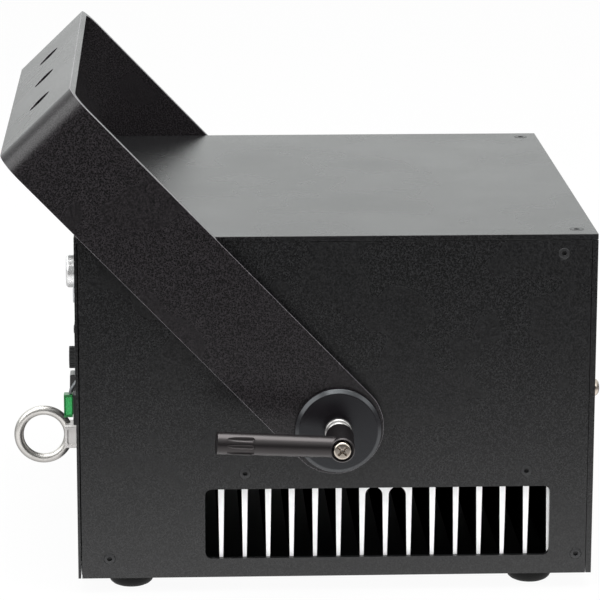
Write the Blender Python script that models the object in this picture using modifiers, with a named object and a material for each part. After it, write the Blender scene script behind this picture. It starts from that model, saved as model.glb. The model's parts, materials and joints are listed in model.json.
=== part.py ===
"""Laser show projector: a flat-panelled casing on rubber feet, hung in a tilting yoke.

The constants are in millimetres and degrees. X runs from the rear panel to the front panel,
where the beam leaves. Y runs across the casing, with the near side at -Y. Z runs up from the
floor that the feet stand on. Heights named HEIGHT are above the casing's underside.
"""
import math

import bmesh
import bpy
from mathutils import Matrix

MM = 0.001

# Gaps
FIT_GAP = 0.3
REAR_SEAM = 0.6
BORE_GAP = 0.3

# Casing
CASE_LENGTH = 280.6
CASE_WIDTH = 300.0
CASE_HEIGHT = 190.0
SIDE_WALL = 3.0
COVER_WALL = 3.0
FRONT_WALL = 3.0
REAR_WALL = 1.5
FLOOR_WALL = 2.0
REAR_POST_LENGTH = 20.0
FRONT_POST_LENGTH = 9.0
POST_WIDTH = 14.0
POST_CAP_LENGTH = 24.0
POST_CAP_TALL = 16.0
POST_INSET = 0.5

# Countersunk panel screws, whose heads lie in these holes
SIDE_SCREW_HEAD = 6.6
COVER_SCREW_HEAD = 8.2
SCREW_SHANK_HOLE = 3.4
SINK_OVERRUN = 0.5
SIDE_SCREW_INSET_TOP = 18.3
SIDE_SCREW_INSET_BOTTOM_REAR = 17.1
SIDE_SCREW_INSET_BOTTOM_FRONT = 8.7
SIDE_SCREW_TOP_DROP = 10.6
SIDE_SCREW_BOTTOM_HEIGHT = 11.0
BED_SCREW_REAR_X = 91.0
BED_SCREW_FRONT_INSET = 36.5
BED_SCREW_HEIGHT = 58.5
COVER_SCREW_END_INSET = 10.2
COVER_SCREW_SIDE_INSET = 12.5

# Feet
FOOT_HEIGHT = 8.6
FOOT_RADIUS = 12.6
FOOT_FLAT_RADIUS = 5.5
FOOT_REAR_X = 28.7
FOOT_FRONT_INSET = 32.2
FOOT_SIDE_INSET = 19.0
# Foot outline: inset from the full radius, height below the casing's underside
FOOT_EDGE = (0.0, 1.3)
FOOT_SHOULDER = (0.7, 3.9)
FOOT_DOME = (2.8, 6.6)

# Air window in each side
VENT_REAR_X = 69.2
VENT_FRONT_INSET = 23.4
VENT_BOTTOM_HEIGHT = 10.5
VENT_TALL = 39.3
VENT_CORNER_RADIUS = 3.5

# Optical bed with its fins
FIN_COUNT = 15
FIRST_FIN_INSET = 8.8
FIN_ROOT = 3.5
FIN_TIP = 2.2
FIN_BOTTOM_HEIGHT = 10.0
CHANNEL_TOP_HEIGHT = 56.0
BED_END_HEIGHT = 52.0
SHALLOW_TOP_HEIGHT = 49.3
SHALLOW_CHANNELS = (6, 7)
FIN_ARCH_STEPS = 6
BED_TOP_HEIGHT = 65.0
BED_REAR_MARGIN = 12.0
BED_FRONT_MARGIN = 10.0

# Fans between the two banks of fins
FAN_SIZE = 40.0
FAN_DEPTH = 20.0
FAN_BORE = 38.0
FAN_HUB_RADIUS = 8.0
FAN_HUB_DEPTH = 15.0
FAN_BLADE_COUNT = 7
FAN_BLADE_WALL = 1.2
FAN_BLADE_CHORD = 13.0
FAN_BLADE_PITCH_ANGLE = 38.0
FAN_BLADE_ROOT_DEPTH = 1.5
FAN_TIP_GAP = 0.7
FAN_AXLE_RADIUS = 1.5
FAN_STRUT_WIDTH = 2.6
FAN_STRUT_DEPTH = 2.4
FAN_STRUT_INSET = 0.5
FAN_HUB_PLATE_STEP = 0.25
FAN_STRUT_BITE = 0.8
FAN_STRUT_HUB_BITE = 2.0
FAN_CHANNELS = (3.5, 10.5)
FAN_TOP_GAP = 0.5
FAN_SLOT_END_MARGIN = 6.4

# Yoke
PIVOT_AHEAD = 0.7
PIVOT_HEIGHT = 84.4
YOKE_TILT = 43.9
YOKE_REACH = 231.7
STRAP_WIDTH = 52.0
STRAP_WALL = 4.0
STRAP_END_SHIFT = 2.0
YOKE_SIDE_GAP = 2.0
YOKE_BEND_RADIUS = 15.0
WEB_HOLE = 15.0
WEB_HOLE_PITCH = 78.0

# Pivot bush, clamp disc, stud and indexing lever, one set a side
BUSH_SHOULDER_RADIUS = 8.0
BUSH_FLANGE_RADIUS = 15.0
BUSH_BARREL_RADIUS = 9.0
BUSH_BARREL_LENGTH = 14.0
STUD_RADIUS = 4.0
STUD_FLANGE_RADIUS = 7.4
STUD_FLANGE_WALL = 10.3
STUD_POST_LENGTH = 12.0
DISC_RADIUS = 23.4
DISC_WALL = 4.0
DISC_CHAMFER = 2.2
DISC_CHAMFER_DEPTH = 1.8
LEVER_HUB_RADIUS = 7.2
LEVER_HUB_TOP_RADIUS = 6.1
LEVER_HUB_LENGTH = 25.7
LEVER_HUB_RIM = 2.0
LEVER_HUB_FOOT = 4.0
LEVER_REACH = 67.0
LEVER_ROOT_RADIUS = 5.5
LEVER_TIP_RADIUS = 5.9
LEVER_ARM_DROP = 5.6
LEVER_LEAN_ANGLE = 6.0
LEVER_REST_ANGLE = 4.3
LEVER_FLUTE_LENGTH = 15.0
LEVER_FLUTE_RADIUS = 1.6
LEVER_FLUTE_FROM_TIP = 4.6
LEVER_FLUTE_SPREAD_ANGLE = 38.0
LEVER_FLUTE_RAISE = 0.3
LEVER_FLUTE_FACETS = 8
LEVER_WALL_UNDER_SPRING = 10.0
CLAMP_SCREW_HEAD_RADIUS = 4.95
CLAMP_SCREW_HEAD_HEIGHT = 3.4
CLAMP_SCREW_PROUD = 1.6
CLAMP_SCREW_SHANK_RADIUS = 2.0
CLAMP_SCREW_BITE = 10.0
# Pan head: share of its radius, drop from its top
CLAMP_SCREW_DOME = ((0.55, 0.3), (0.85, 1.0), (1.0, 2.0))

# Front: window, masking plate, thumbscrews and two button-head screws
WINDOW_WIDTH = 110.0
WINDOW_TALL = 56.0
WINDOW_CORNER_RADIUS = 6.0
GLASS_WALL = 2.0
GLASS_OVERLAP = 6.0
MASK_WIDTH = 124.0
MASK_TALL = 48.0
MASK_WALL = 1.5
MASK_TRAVEL = 20.0
MASK_TOP_DROP = 2.0
MASK_CORNER_RADIUS = 3.0
MASK_SCREW_SPACING = 90.0
MASK_SCREW_DROP = 10.0
MASK_SLOT_ROUNDING = 0.98
THUMB_HEAD_RADIUS = 6.0
THUMB_HEAD_LENGTH = 7.0
THUMB_SHANK_RADIUS = 2.0
THUMB_RIDGES = 18
THUMB_RIDGE_DEPTH = 0.5
FRONT_SCREW_HEAD_RADIUS = 4.9
FRONT_SCREW_HEAD_HEIGHT = 3.4
FRONT_SCREW_SHANK_RADIUS = 2.5
FRONT_SCREW_LENGTH = 12.0
# Button head: share of its radius, drop from its top
FRONT_SCREW_DOME = ((0.5, 0.15), (0.8, 1.0), (1.0, 2.2))
FRONT_SCREW_SIDE_INSET = 12.0
FRONT_SCREW_HEIGHT = 102.0

# Light path on the bed
BEAM_ABOVE_BED = 25.0
MIRROR_LINE_FRONT_INSET = 44.6
LASER_LENGTH = 108.0
LASER_WIDTH = 34.0
LASER_TALL = 46.0
LASER_REAR_X = 78.0
LASER_SNOUT_RADIUS = 6.0
LASER_SNOUT_LENGTH = 9.0
LASER_SNOUT_BITE = 2.0
LASER_SPACING = 3.0
LASER_BUSH_GAP = 1.0
LASER_NODES = ("laser_module_red", "laser_module_green", "laser_module_blue")
MIRROR_NODES = ("folding_mirror", "dichroic_mirror_green", "dichroic_mirror_blue")
MIRROR_BASE = 17.0
MIRROR_BASE_WALL = 6.0
MIRROR_PLATE_WIDTH = 16.0
MIRROR_PLATE_WALL = 2.5
MIRROR_PLATE_ABOVE_BEAM = 11.0
GALVO_MOTOR_RADIUS = 7.0
GALVO_MOTOR_LENGTH = 32.0
GALVO_MOTOR_TO_MIRROR = 9.0
GALVO_SHAFT_RADIUS = 1.5
GALVO_SHAFT_BITE = 12.0
GALVO_HOLDER_RADIUS = 2.6
GALVO_HOLDER_LENGTH = 4.0
GALVO_MIRROR_RISE = 14.0
GALVO_MIRROR_LENGTH = 11.0
GALVO_MIRROR_WIDTH = 8.0
GALVO_MIRROR_WALL = 1.2
GALVO_BLOCK_WALL = 4.0
GALVO_BLOCK_END_GAP = 3.0

# Electronics
SUPPLY_LENGTH = 30.0
SUPPLY_WIDTH = 160.0
SUPPLY_TALL = 96.0
SUPPLY_REAR_X = 34.0
BOARD_WALL = 1.6
PILLAR_RADIUS = 3.0
PILLAR_INSET = 6.0
CONTROL_BOARD_X = 40.0
CONTROL_BOARD_MIDDLE_GAP = 14.0
CONTROL_BOARD_POST_GAP = 6.7
CONTROL_BOARD_HEIGHT = 112.0
CONTROL_BOARD_TOP_DROP = 12.0
CHIP_SIZE = 18.0
CHIP_WALL = 4.0
DRIVER_REAR_X = 88.0
DRIVER_LENGTH = 108.0
DRIVER_WIDTH = 74.0
DRIVER_SIDE_GAP = 14.7
DRIVER_PILLAR_LENGTH = 10.0

# Rear panel fittings: y and height above the casing's underside
EYEBOLT_AT = (0.0, 39.9)
ROCKER_AT = (0.0, 66.9)
FUSE_AT = (0.0, 86.4)
KEY_SWITCH_AT = (0.0, 137.9)
INTERLOCK_AT = (-75.0, 76.0)
ILDA_AT = (-75.0, 145.2)
NETWORK_AT = (-75.0, 112.0)
DMX_AT = (70.0, 145.0)
POWER_INLET_SIDE_INSET = 42.0
POWER_INLET_HEIGHT = 60.0

EYE_RING_RADIUS = 14.55
EYE_WIRE_RADIUS = 2.75
EYE_STANDOFF = 23.2
EYE_BLOCK_LENGTH = 10.4
EYE_BLOCK_WIDTH = 14.0
EYE_BLOCK_TALL = 14.2
EYE_BLOCK_CORNER_RADIUS = 1.5
EYE_SHANK_RADIUS = 4.0
EYE_SHANK_LENGTH = 16.0

KEY_BARREL_RADIUS = 9.5
KEY_BARREL_PROUD = 8.6
# Barrel's rounded edge: inset from its radius, drop from its face
KEY_BARREL_EDGE = ((1.6, 0.0), (0.5, 0.5), (0.0, 1.6))
KEY_BODY_RADIUS = 8.0
KEY_BODY_LENGTH = 22.0
KEY_PLUG_RADIUS = 5.5
KEY_PLUG_LENGTH = 16.0
KEY_SLOT_WALL = 1.4
KEY_SLOT_TALL = 7.0
KEY_SLOT_DEPTH = 8.0

FUSE_FLANGE_RADIUS = 7.2
FUSE_FLANGE_WALL = 1.5
FUSE_BODY_RADIUS = 6.0
FUSE_BODY_LENGTH = 26.0
FUSE_CAP_RADIUS = 6.5
FUSE_CAP_LENGTH = 5.5
FUSE_CAP_RIDGES = 14
FUSE_CAP_RIDGE_DEPTH = 0.45
FUSE_PLUG_RADIUS = 4.2
FUSE_PLUG_LENGTH = 18.0

ROCKER_BEZEL_WIDTH = 15.0
ROCKER_BEZEL_TALL = 24.0
ROCKER_BEZEL_WALL = 1.8
ROCKER_BODY_LENGTH = 18.0
ROCKER_RIM = 1.6
ROCKER_BODY_RIM = 0.9
ROCKER_POCKET_DEPTH = 10.0
ROCKER_PROUD = 8.4
ROCKER_HINGE_DEPTH = 1.0
ROCKER_DISH = 0.9
ROCKER_EDGE = 1.2
ROCKER_EDGE_DEPTH = 1.6
ROCKER_SIDE_DRAFT = 0.2
ROCKER_LEG_DEPTH = 5.0
ROCKER_THROW = 14.0

HEADER_WIDTH = 10.0
HEADER_TALL = 17.4
HEADER_PROUD = 3.5
HEADER_BODY_LENGTH = 12.0
HEADER_RIM = 1.2
PLUG_WIDTH = 6.4
PLUG_TALL = 13.0
PLUG_PROUD = 8.7
PLUG_RAISE = 1.9
PLUG_NOSE_WIDTH = 4.4
PLUG_NOSE_TALL = 10.0
PLUG_NOSE_LENGTH = 8.0
BRIDGE_WIRE_RADIUS = 0.8
BRIDGE_SPACING = 3.4
BRIDGE_RISE = 6.6
BRIDGE_LEAN = 4.2
BRIDGE_STRAIGHT = 1.0
BRIDGE_ROOT_PROUD = 5.3

DSUB_FLANGE_WIDTH = 53.0
DSUB_FLANGE_TALL = 12.6
DSUB_FLANGE_WALL = 0.9
DSUB_SHELL_WIDTH = 39.0
DSUB_SHELL_TALL = 8.3
DSUB_SHELL_PROUD = 2.3
DSUB_BODY_LENGTH = 12.0
DSUB_SHELL_SLANT = 1.6
DSUB_MOUTH_RIM = 0.9
DSUB_MOUTH_DEPTH = 6.0

SOCKET_FLANGE_WIDTH = 26.0
SOCKET_FLANGE_TALL = 31.0
SOCKET_FLANGE_WALL = 1.7
SOCKET_BODY_RADIUS = 11.7
SOCKET_BODY_LENGTH = 22.0
SOCKET_CORNER_RADIUS = 3.0
DMX_MOUTH_RADIUS = 9.2
DMX_MOUTH_DEPTH = 13.0
NETWORK_MOUTH_WIDTH = 13.2
NETWORK_MOUTH_TALL = 11.4
NETWORK_MOUTH_DEPTH = 15.0
INLET_MOUTH_RADIUS = 9.8
INLET_MOUTH_DEPTH = 14.0

# Facets of round pieces
FINE = 36
ROUND = 24
SMALL = 16
TINY = 12
EYE_WIRE_FACETS = 8
CUT_REACH = 1.0
BEND_STEPS = 8
CORNER_STEPS = 4
YOKE_END_STEPS = 24
WELD = 0.00001
# One ridge of a knurled head: share of its pitch, share of the groove's depth
RIDGE = ((0.0, 0.0), (0.3, 0.0), (0.5, 1.0), (0.8, 1.0))

# Places worked out from the sizes above
UNDERSIDE_Z = FOOT_HEIGHT
TOP_Z = UNDERSIDE_Z + CASE_HEIGHT
COVER_UNDER_Z = TOP_Z - COVER_WALL
PANEL_TOP_Z = COVER_UNDER_Z - FIT_GAP
HALF_WIDTH = CASE_WIDTH / 2
POWER_INLET_AT = (HALF_WIDTH - POWER_INLET_SIDE_INSET, POWER_INLET_HEIGHT)
INNER_HALF_WIDTH = HALF_WIDTH - SIDE_WALL - FIT_GAP
INNER_REAR_X = REAR_WALL + FIT_GAP
INNER_FRONT_X = CASE_LENGTH - FRONT_WALL - FIT_GAP
FLOOR_TOP_Z = UNDERSIDE_Z + FLOOR_WALL
BED_TOP_Z = UNDERSIDE_Z + BED_TOP_HEIGHT
VENT_LENGTH = CASE_LENGTH - VENT_FRONT_INSET - VENT_REAR_X
FIRST_FIN_X = VENT_REAR_X + FIRST_FIN_INSET
FIN_PITCH = (VENT_LENGTH - FIRST_FIN_INSET) / (FIN_COUNT - 1)
FAN_CENTRES_X = [FIRST_FIN_X + n * FIN_PITCH for n in FAN_CHANNELS]
PIVOT_X = CASE_LENGTH / 2 + PIVOT_AHEAD
MIRROR_LINE_X = CASE_LENGTH - MIRROR_LINE_FRONT_INSET
FOOT_FRONT_X = CASE_LENGTH - FOOT_FRONT_INSET
BED_REAR_X = FIRST_FIN_X - BED_REAR_MARGIN
BED_FRONT_X = FIRST_FIN_X + (FIN_COUNT - 1) * FIN_PITCH + BED_FRONT_MARGIN
BEAM_Z = BED_TOP_Z + BEAM_ABOVE_BED
WINDOW_Z = BEAM_Z + GALVO_MIRROR_RISE
FIRST_LASER_Y = LASER_WIDTH / 2 + LASER_BUSH_GAP + BUSH_BARREL_LENGTH - HALF_WIDTH
LASER_Y = [FIRST_LASER_Y + i * (LASER_WIDTH + LASER_SPACING) for i in range(len(LASER_NODES))]
PIVOT_Z = UNDERSIDE_Z + PIVOT_HEIGHT
YOKE_HALF_WIDTH = HALF_WIDTH + YOKE_SIDE_GAP + STRAP_WALL

# Distances out from the side of the casing, along the clamp's axis
ARM_INNER = YOKE_SIDE_GAP
ARM_OUTER = YOKE_SIDE_GAP + STRAP_WALL
DISC_INNER = ARM_OUTER + FIT_GAP
DISC_OUTER = DISC_INNER + DISC_WALL
STUD_FLANGE_INNER = DISC_OUTER + FIT_GAP
STUD_FLANGE_OUTER = STUD_FLANGE_INNER + STUD_FLANGE_WALL
LEVER_BASE = STUD_FLANGE_OUTER + FIT_GAP
LEVER_TOP = LEVER_BASE + LEVER_HUB_LENGTH
CLAMP_HEAD_TOP = LEVER_TOP + CLAMP_SCREW_PROUD
CLAMP_HEAD_UNDER = CLAMP_HEAD_TOP - CLAMP_SCREW_HEAD_HEIGHT
STUD_TOP = STUD_FLANGE_OUTER + STUD_POST_LENGTH

# Distances out from the front of the casing
MASK_REAR_X = CASE_LENGTH + FIT_GAP
MASK_FRONT_X = MASK_REAR_X + MASK_WALL
THUMB_HEAD_X = MASK_FRONT_X + FIT_GAP
THUMB_FRONT_X = THUMB_HEAD_X + THUMB_HEAD_LENGTH
MASK_TOP_Z = WINDOW_Z - WINDOW_TALL / 2 - MASK_TOP_DROP
MASK_SCREW_Z = MASK_TOP_Z - MASK_SCREW_DROP

# The origin lies halfway between the furthest points to the rear and to the front
_tilt = math.radians(YOKE_TILT)
YOKE_REAR = YOKE_REACH * math.sin(_tilt) + STRAP_WIDTH / 2 * math.cos(_tilt) - PIVOT_X
EYE_REAR = EYE_STANDOFF + EYE_RING_RADIUS + EYE_WIRE_RADIUS
ORIGIN_X = (THUMB_FRONT_X - max(YOKE_REAR, EYE_REAR)) / 2

TURNS = {
    "+Z": (0.0, 0.0, 0.0),
    "+X": (0.0, math.pi / 2, 0.0),
    "-X": (0.0, -math.pi / 2, 0.0),
    "-Y": (math.pi / 2, 0.0, 0.0),
    "+Y": (-math.pi / 2, 0.0, 0.0),
}
PLANES = {
    "XY": (0.0, 0.0, 0.0),
    "XZ": (math.pi / 2, 0.0, 0.0),
    "YZ": (math.pi / 2, 0.0, math.pi / 2),
}

# Finishes: sRGB colour, roughness, metallic
FINISHES = {
    "textured_black": ("#232326", 0.55, 0.0),
    "yoke_black": ("#242126", 0.5, 0.0),
    "anodised_black": ("#1d1d20", 0.4, 0.6),
    "moulded_black": ("#19191a", 0.5, 0.0),
    "rubber_black": ("#141414", 0.85, 0.0),
    "bare_aluminium": ("#d5d6d8", 0.35, 1.0),
    "stainless": ("#cfcdca", 0.22, 1.0),
    "chrome": ("#e0e0e0", 0.08, 1.0),
    "zinc_steel": ("#b4b6b8", 0.4, 1.0),
    "signal_green": ("#3aa257", 0.35, 0.0),
    "grey_wire": ("#b9bdc2", 0.5, 0.0),
    "circuit_green": ("#1d5a34", 0.5, 0.0),
    "optical_glass": ("#dfe8ec", 0.05, 0.0),
    "mirror_silver": ("#eef0f2", 0.03, 1.0),
    "inlet_blue": ("#2c5f9e", 0.45, 0.0),
}


def linear(channel):
    """One sRGB channel, 0 to 1, as linear light."""
    return channel / 12.92 if channel <= 0.04045 else ((channel + 0.055) / 1.055) ** 2.4


def finish(name):
    """The material of one finish, made once."""
    if name in bpy.data.materials:
        return bpy.data.materials[name]
    colour, roughness, metallic = FINISHES[name]
    material = bpy.data.materials.new(name)
    material.use_nodes = True
    shader = material.node_tree.nodes["Principled BSDF"]
    rgb = [linear(int(colour[i:i + 2], 16) / 255) for i in (1, 3, 5)]
    shader.inputs["Base Color"].default_value = (*rgb, 1.0)
    shader.inputs["Roughness"].default_value = roughness
    shader.inputs["Metallic"].default_value = metallic
    return material


def clear_scene():
    """Remove what a new Blender file holds."""
    for item in list(bpy.data.objects):
        bpy.data.objects.remove(item, do_unlink=True)


def collection(name):
    """A collection of this name, linked to the scene."""
    group = bpy.data.collections.new(name)
    bpy.context.scene.collection.children.link(group)
    return group


def add_object(name, data, material, at, turn=(0.0, 0.0, 0.0)):
    """Put a mesh or curve into the projector's collection, with its origin at a point in mm."""
    item = bpy.data.objects.new(name, data)
    item.location = ((at[0] - ORIGIN_X) * MM, at[1] * MM, at[2] * MM)
    item.rotation_euler = turn
    if material:
        data.materials.append(finish(material))
    PARTS.objects.link(item)
    return item


def block(name, low, high, material=None, pivot=None):
    """A box between two corners, with its origin at its middle or at the pivot."""
    middle = [(a + b) / 2 for a, b in zip(low, high)]
    at = pivot or middle
    mesh = bpy.data.meshes.new(name)
    shape = bmesh.new()
    bmesh.ops.create_cube(shape, size=1.0)
    size = [(b - a) * MM for a, b in zip(low, high)]
    offset = [(m - p) * MM for m, p in zip(middle, at)]
    placed = Matrix.Translation(offset) @ Matrix.Diagonal((*size, 1.0))
    bmesh.ops.transform(shape, matrix=placed, verts=shape.verts)
    shape.to_mesh(mesh)
    shape.free()
    return add_object(name, mesh, material, at)


def bar(name, centre, size, matrix, material=None, at=(0.0, 0.0, 0.0), turn=(0.0, 0.0, 0.0)):
    """A box of a size about a centre, then moved by a matrix, in the frame of its origin."""
    mesh = bpy.data.meshes.new(name)
    shape = bmesh.new()
    bmesh.ops.create_cube(shape, size=1.0)
    scaled = Matrix.Diagonal((*[s * MM for s in size], 1.0))
    moved = matrix @ Matrix.Translation([c * MM for c in centre]) @ scaled
    bmesh.ops.transform(shape, matrix=moved, verts=shape.verts)
    shape.to_mesh(mesh)
    shape.free()
    return add_object(name, mesh, material, at, turn)


def turned(name, profile, at, axis, material=None, steps=ROUND):
    """A lathe shape. The profile's points are (radius, distance along the axis), top to bottom."""
    mesh = bpy.data.meshes.new(name)
    points = [(r * MM, 0.0, h * MM) for r, h in profile]
    open_ends = profile[0][0] == 0 and profile[-1][0] == 0
    edges = [(i, i + 1) for i in range(len(points) - 1)]
    if not open_ends:
        edges.append((len(points) - 1, 0))
    mesh.from_pydata(points, edges, [])
    item = add_object(name, mesh, material, at, TURNS[axis])
    screw = item.modifiers.new("Turn", "SCREW")
    screw.angle = math.tau
    screw.steps = steps
    screw.render_steps = steps
    screw.use_merge_vertices = True
    screw.merge_threshold = WELD
    screw.use_smooth_shade = True
    return item


def plain_mesh(item):
    """Turn a curve object into a welded mesh object with the same name, place and material."""
    bpy.context.view_layer.update()
    graph = bpy.context.evaluated_depsgraph_get()
    mesh = bpy.data.meshes.new_from_object(item.evaluated_get(graph))
    shape = bmesh.new()
    shape.from_mesh(mesh)
    bmesh.ops.remove_doubles(shape, verts=shape.verts, dist=WELD)
    bmesh.ops.dissolve_degenerate(shape, dist=WELD, edges=shape.edges)
    bmesh.ops.recalc_face_normals(shape, faces=shape.faces)
    shape.to_mesh(mesh)
    shape.free()
    name = item.name
    matrix = item.matrix_world.copy()
    bpy.data.objects.remove(item, do_unlink=True)
    solid = bpy.data.objects.new(name, mesh)
    solid.matrix_world = matrix
    PARTS.objects.link(solid)
    return solid


def extruded(name, outlines, plane, at, depth, material=None, turn=None):
    """A flat plate: closed outlines in a plane, the inner ones holes, with half its depth each way."""
    curve = bpy.data.curves.new(name, "CURVE")
    curve.dimensions = "2D"
    curve.fill_mode = "BOTH"
    curve.extrude = depth / 2 * MM
    for outline in outlines:
        spline = curve.splines.new("POLY")
        spline.points.add(len(outline) - 1)
        for point, (u, v) in zip(spline.points, outline):
            point.co = (u * MM, v * MM, 0.0, 1.0)
        spline.use_cyclic_u = True
    item = add_object(name, curve, material, at, turn or PLANES[plane])
    return plain_mesh(item)


def wire(name, points, radius, material, at):
    """A bent wire through points given from its origin."""
    curve = bpy.data.curves.new(name, "CURVE")
    curve.dimensions = "3D"
    curve.bevel_depth = radius * MM
    curve.bevel_resolution = 2
    curve.use_fill_caps = True
    spline = curve.splines.new("POLY")
    spline.points.add(len(points) - 1)
    for point, place in zip(spline.points, points):
        point.co = (*[c * MM for c in place], 1.0)
    return plain_mesh(add_object(name, curve, material, at))


def arc(cx, cy, radius, start, end, steps):
    """Points along an arc, with both ends, angles in degrees."""
    angles = [math.radians(start + (end - start) * i / steps) for i in range(steps + 1)]
    return [(cx + radius * math.cos(a), cy + radius * math.sin(a)) for a in angles]


def circle(cx, cy, radius, steps=SMALL):
    """A closed round outline."""
    return arc(cx, cy, radius, 0.0, 360.0 * (steps - 1) / steps, steps - 1)


def rectangle(cx, cy, width, tall):
    """A closed square-cornered outline."""
    w, t = width / 2, tall / 2
    return [(cx - w, cy - t), (cx + w, cy - t), (cx + w, cy + t), (cx - w, cy + t)]


def rounded(cx, cy, width, tall, radius, steps=CORNER_STEPS):
    """A closed outline with round corners."""
    w, t = width / 2 - radius, tall / 2 - radius
    corners = ((w, t, 0), (-w, t, 90), (-w, -t, 180), (w, -t, 270))
    return [p for x, y, a in corners for p in arc(cx + x, cy + y, radius, a, a + 90, steps)]


def ridged(radius, depth, ridges):
    """A round outline with shallow grooves, as on a knurled head."""
    points = []
    for i in range(ridges):
        for share, sunk in RIDGE:
            r = radius - sunk * depth
            angle = math.tau * (i + share) / ridges
            points.append((r * math.cos(angle), r * math.sin(angle)))
    return points


def as_tool(item):
    """Keep a shape out of the model: it only cuts or joins."""
    PARTS.objects.unlink(item)
    TOOLS.objects.link(item)
    item.hide_render = True
    item.display_type = "WIRE"
    return item


def shape_with(target, operation, tools):
    """Cut or join a piece with helper shapes, in order."""
    for tool in tools:
        as_tool(tool)
        boolean = target.modifiers.new(operation.title(), "BOOLEAN")
        boolean.operation = operation
        boolean.solver = "EXACT"
        boolean.object = tool
    return target


def cut(target, *tools):
    """Take helper shapes out of a piece."""
    return shape_with(target, "DIFFERENCE", tools)


def join(target, *tools):
    """Add helper shapes to a piece, so that they are one body."""
    return shape_with(target, "UNION", tools)


def rod(name, at, axis, radius, start, end, steps=SMALL, end_radius=None):
    """A cylinder or cone between two distances along an axis from a point."""
    top = radius if end_radius is None else end_radius
    return turned(name, [(0.0, end), (top, end), (radius, start), (0.0, start)], at, axis, None, steps)


def countersinks(target, centres, axis, head):
    """Cut a cone for each flush screw; centres are on the outer face, and the axis points out."""
    for i, centre in enumerate(centres):
        hole = SCREW_SHANK_HOLE / 2 - SINK_OVERRUN
        depth = head / 2 - hole
        cone = rod(f"{target.name}_sink_{i}", centre, axis, hole, -depth, SINK_OVERRUN, SMALL,
                   head / 2 + SINK_OVERRUN)
        cut(target, cone)


# Screw positions that the panels share
SIDE_SCREWS = (
    (SIDE_SCREW_INSET_TOP, CASE_HEIGHT - SIDE_SCREW_TOP_DROP),
    (CASE_LENGTH - SIDE_SCREW_INSET_TOP, CASE_HEIGHT - SIDE_SCREW_TOP_DROP),
    (SIDE_SCREW_INSET_BOTTOM_REAR, SIDE_SCREW_BOTTOM_HEIGHT),
    (CASE_LENGTH - SIDE_SCREW_INSET_BOTTOM_FRONT, SIDE_SCREW_BOTTOM_HEIGHT),
    (BED_SCREW_REAR_X, BED_SCREW_HEIGHT),
    (CASE_LENGTH - BED_SCREW_FRONT_INSET, BED_SCREW_HEIGHT),
)
COVER_SCREWS = tuple(
    (x, y)
    for x in (COVER_SCREW_END_INSET, CASE_LENGTH - COVER_SCREW_END_INSET)
    for y in (COVER_SCREW_SIDE_INSET - HALF_WIDTH, HALF_WIDTH - COVER_SCREW_SIDE_INSET)
)
FRONT_SCREW_Y = HALF_WIDTH - FRONT_SCREW_SIDE_INSET
FRONT_SCREW_Z = UNDERSIDE_Z + FRONT_SCREW_HEIGHT
SIDES = (("near", -1), ("far", 1))


def chassis():
    """The floor plate with a post in each corner that the panels are screwed to."""
    step = POST_INSET
    plate = block("chassis", (INNER_REAR_X + step, step - INNER_HALF_WIDTH, UNDERSIDE_Z),
                  (INNER_FRONT_X - step, INNER_HALF_WIDTH - step, FLOOR_TOP_Z), "bare_aluminium")
    foot_z, cap_z = UNDERSIDE_Z + FLOOR_WALL / 2, PANEL_TOP_Z - POST_CAP_TALL
    ends = ((INNER_REAR_X, 1, REAR_POST_LENGTH), (INNER_FRONT_X, -1, FRONT_POST_LENGTH))
    for end_x, inward, length in ends:
        leg_x, cap_x = end_x + inward * length, end_x + inward * POST_CAP_LENGTH
        outline = [(end_x, foot_z), (leg_x, foot_z), (leg_x, cap_z), (cap_x, cap_z), (cap_x, PANEL_TOP_Z),
                   (end_x, PANEL_TOP_Z)]
        for _, side in SIDES:
            middle = (0.0, side * (INNER_HALF_WIDTH - POST_WIDTH / 2), 0.0)
            join(plate, extruded("post", [outline], "XZ", middle, POST_WIDTH))
    for _, side in SIDES:
        at = (INNER_FRONT_X, side * FRONT_SCREW_Y, FRONT_SCREW_Z)
        cut(plate, rod("post_hole", at, "-X", FRONT_SCREW_SHANK_RADIUS + BORE_GAP, -CUT_REACH,
                       FRONT_SCREW_LENGTH, TINY))


def side_panel(side_name, side):
    """A flat side with the air window, the pivot hole and six flush screw holes."""
    length = CASE_LENGTH - FRONT_WALL - FIT_GAP - REAR_WALL - REAR_SEAM
    middle_x = REAR_WALL + REAR_SEAM + length / 2
    tall = PANEL_TOP_Z - UNDERSIDE_Z
    at = (middle_x, side * (HALF_WIDTH - SIDE_WALL / 2), UNDERSIDE_Z + tall / 2)
    outlines = [
        rectangle(0.0, 0.0, length, tall),
        rounded(VENT_REAR_X + VENT_LENGTH / 2 - at[0],
                UNDERSIDE_Z + VENT_BOTTOM_HEIGHT + VENT_TALL / 2 - at[2],
                VENT_LENGTH, VENT_TALL, VENT_CORNER_RADIUS),
        circle(PIVOT_X - at[0], PIVOT_Z - at[2], BUSH_BARREL_RADIUS + BORE_GAP, ROUND),
    ]
    for x, height in SIDE_SCREWS:
        outlines.append(circle(x - at[0], UNDERSIDE_Z + height - at[2], SCREW_SHANK_HOLE / 2, TINY))
    panel = extruded(f"side_panel_{side_name}", outlines, "XZ", at, SIDE_WALL, "textured_black")
    centres = [(x, side * HALF_WIDTH, UNDERSIDE_Z + height) for x, height in SIDE_SCREWS]
    countersinks(panel, centres, "-Y" if side < 0 else "+Y", SIDE_SCREW_HEAD)


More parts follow.
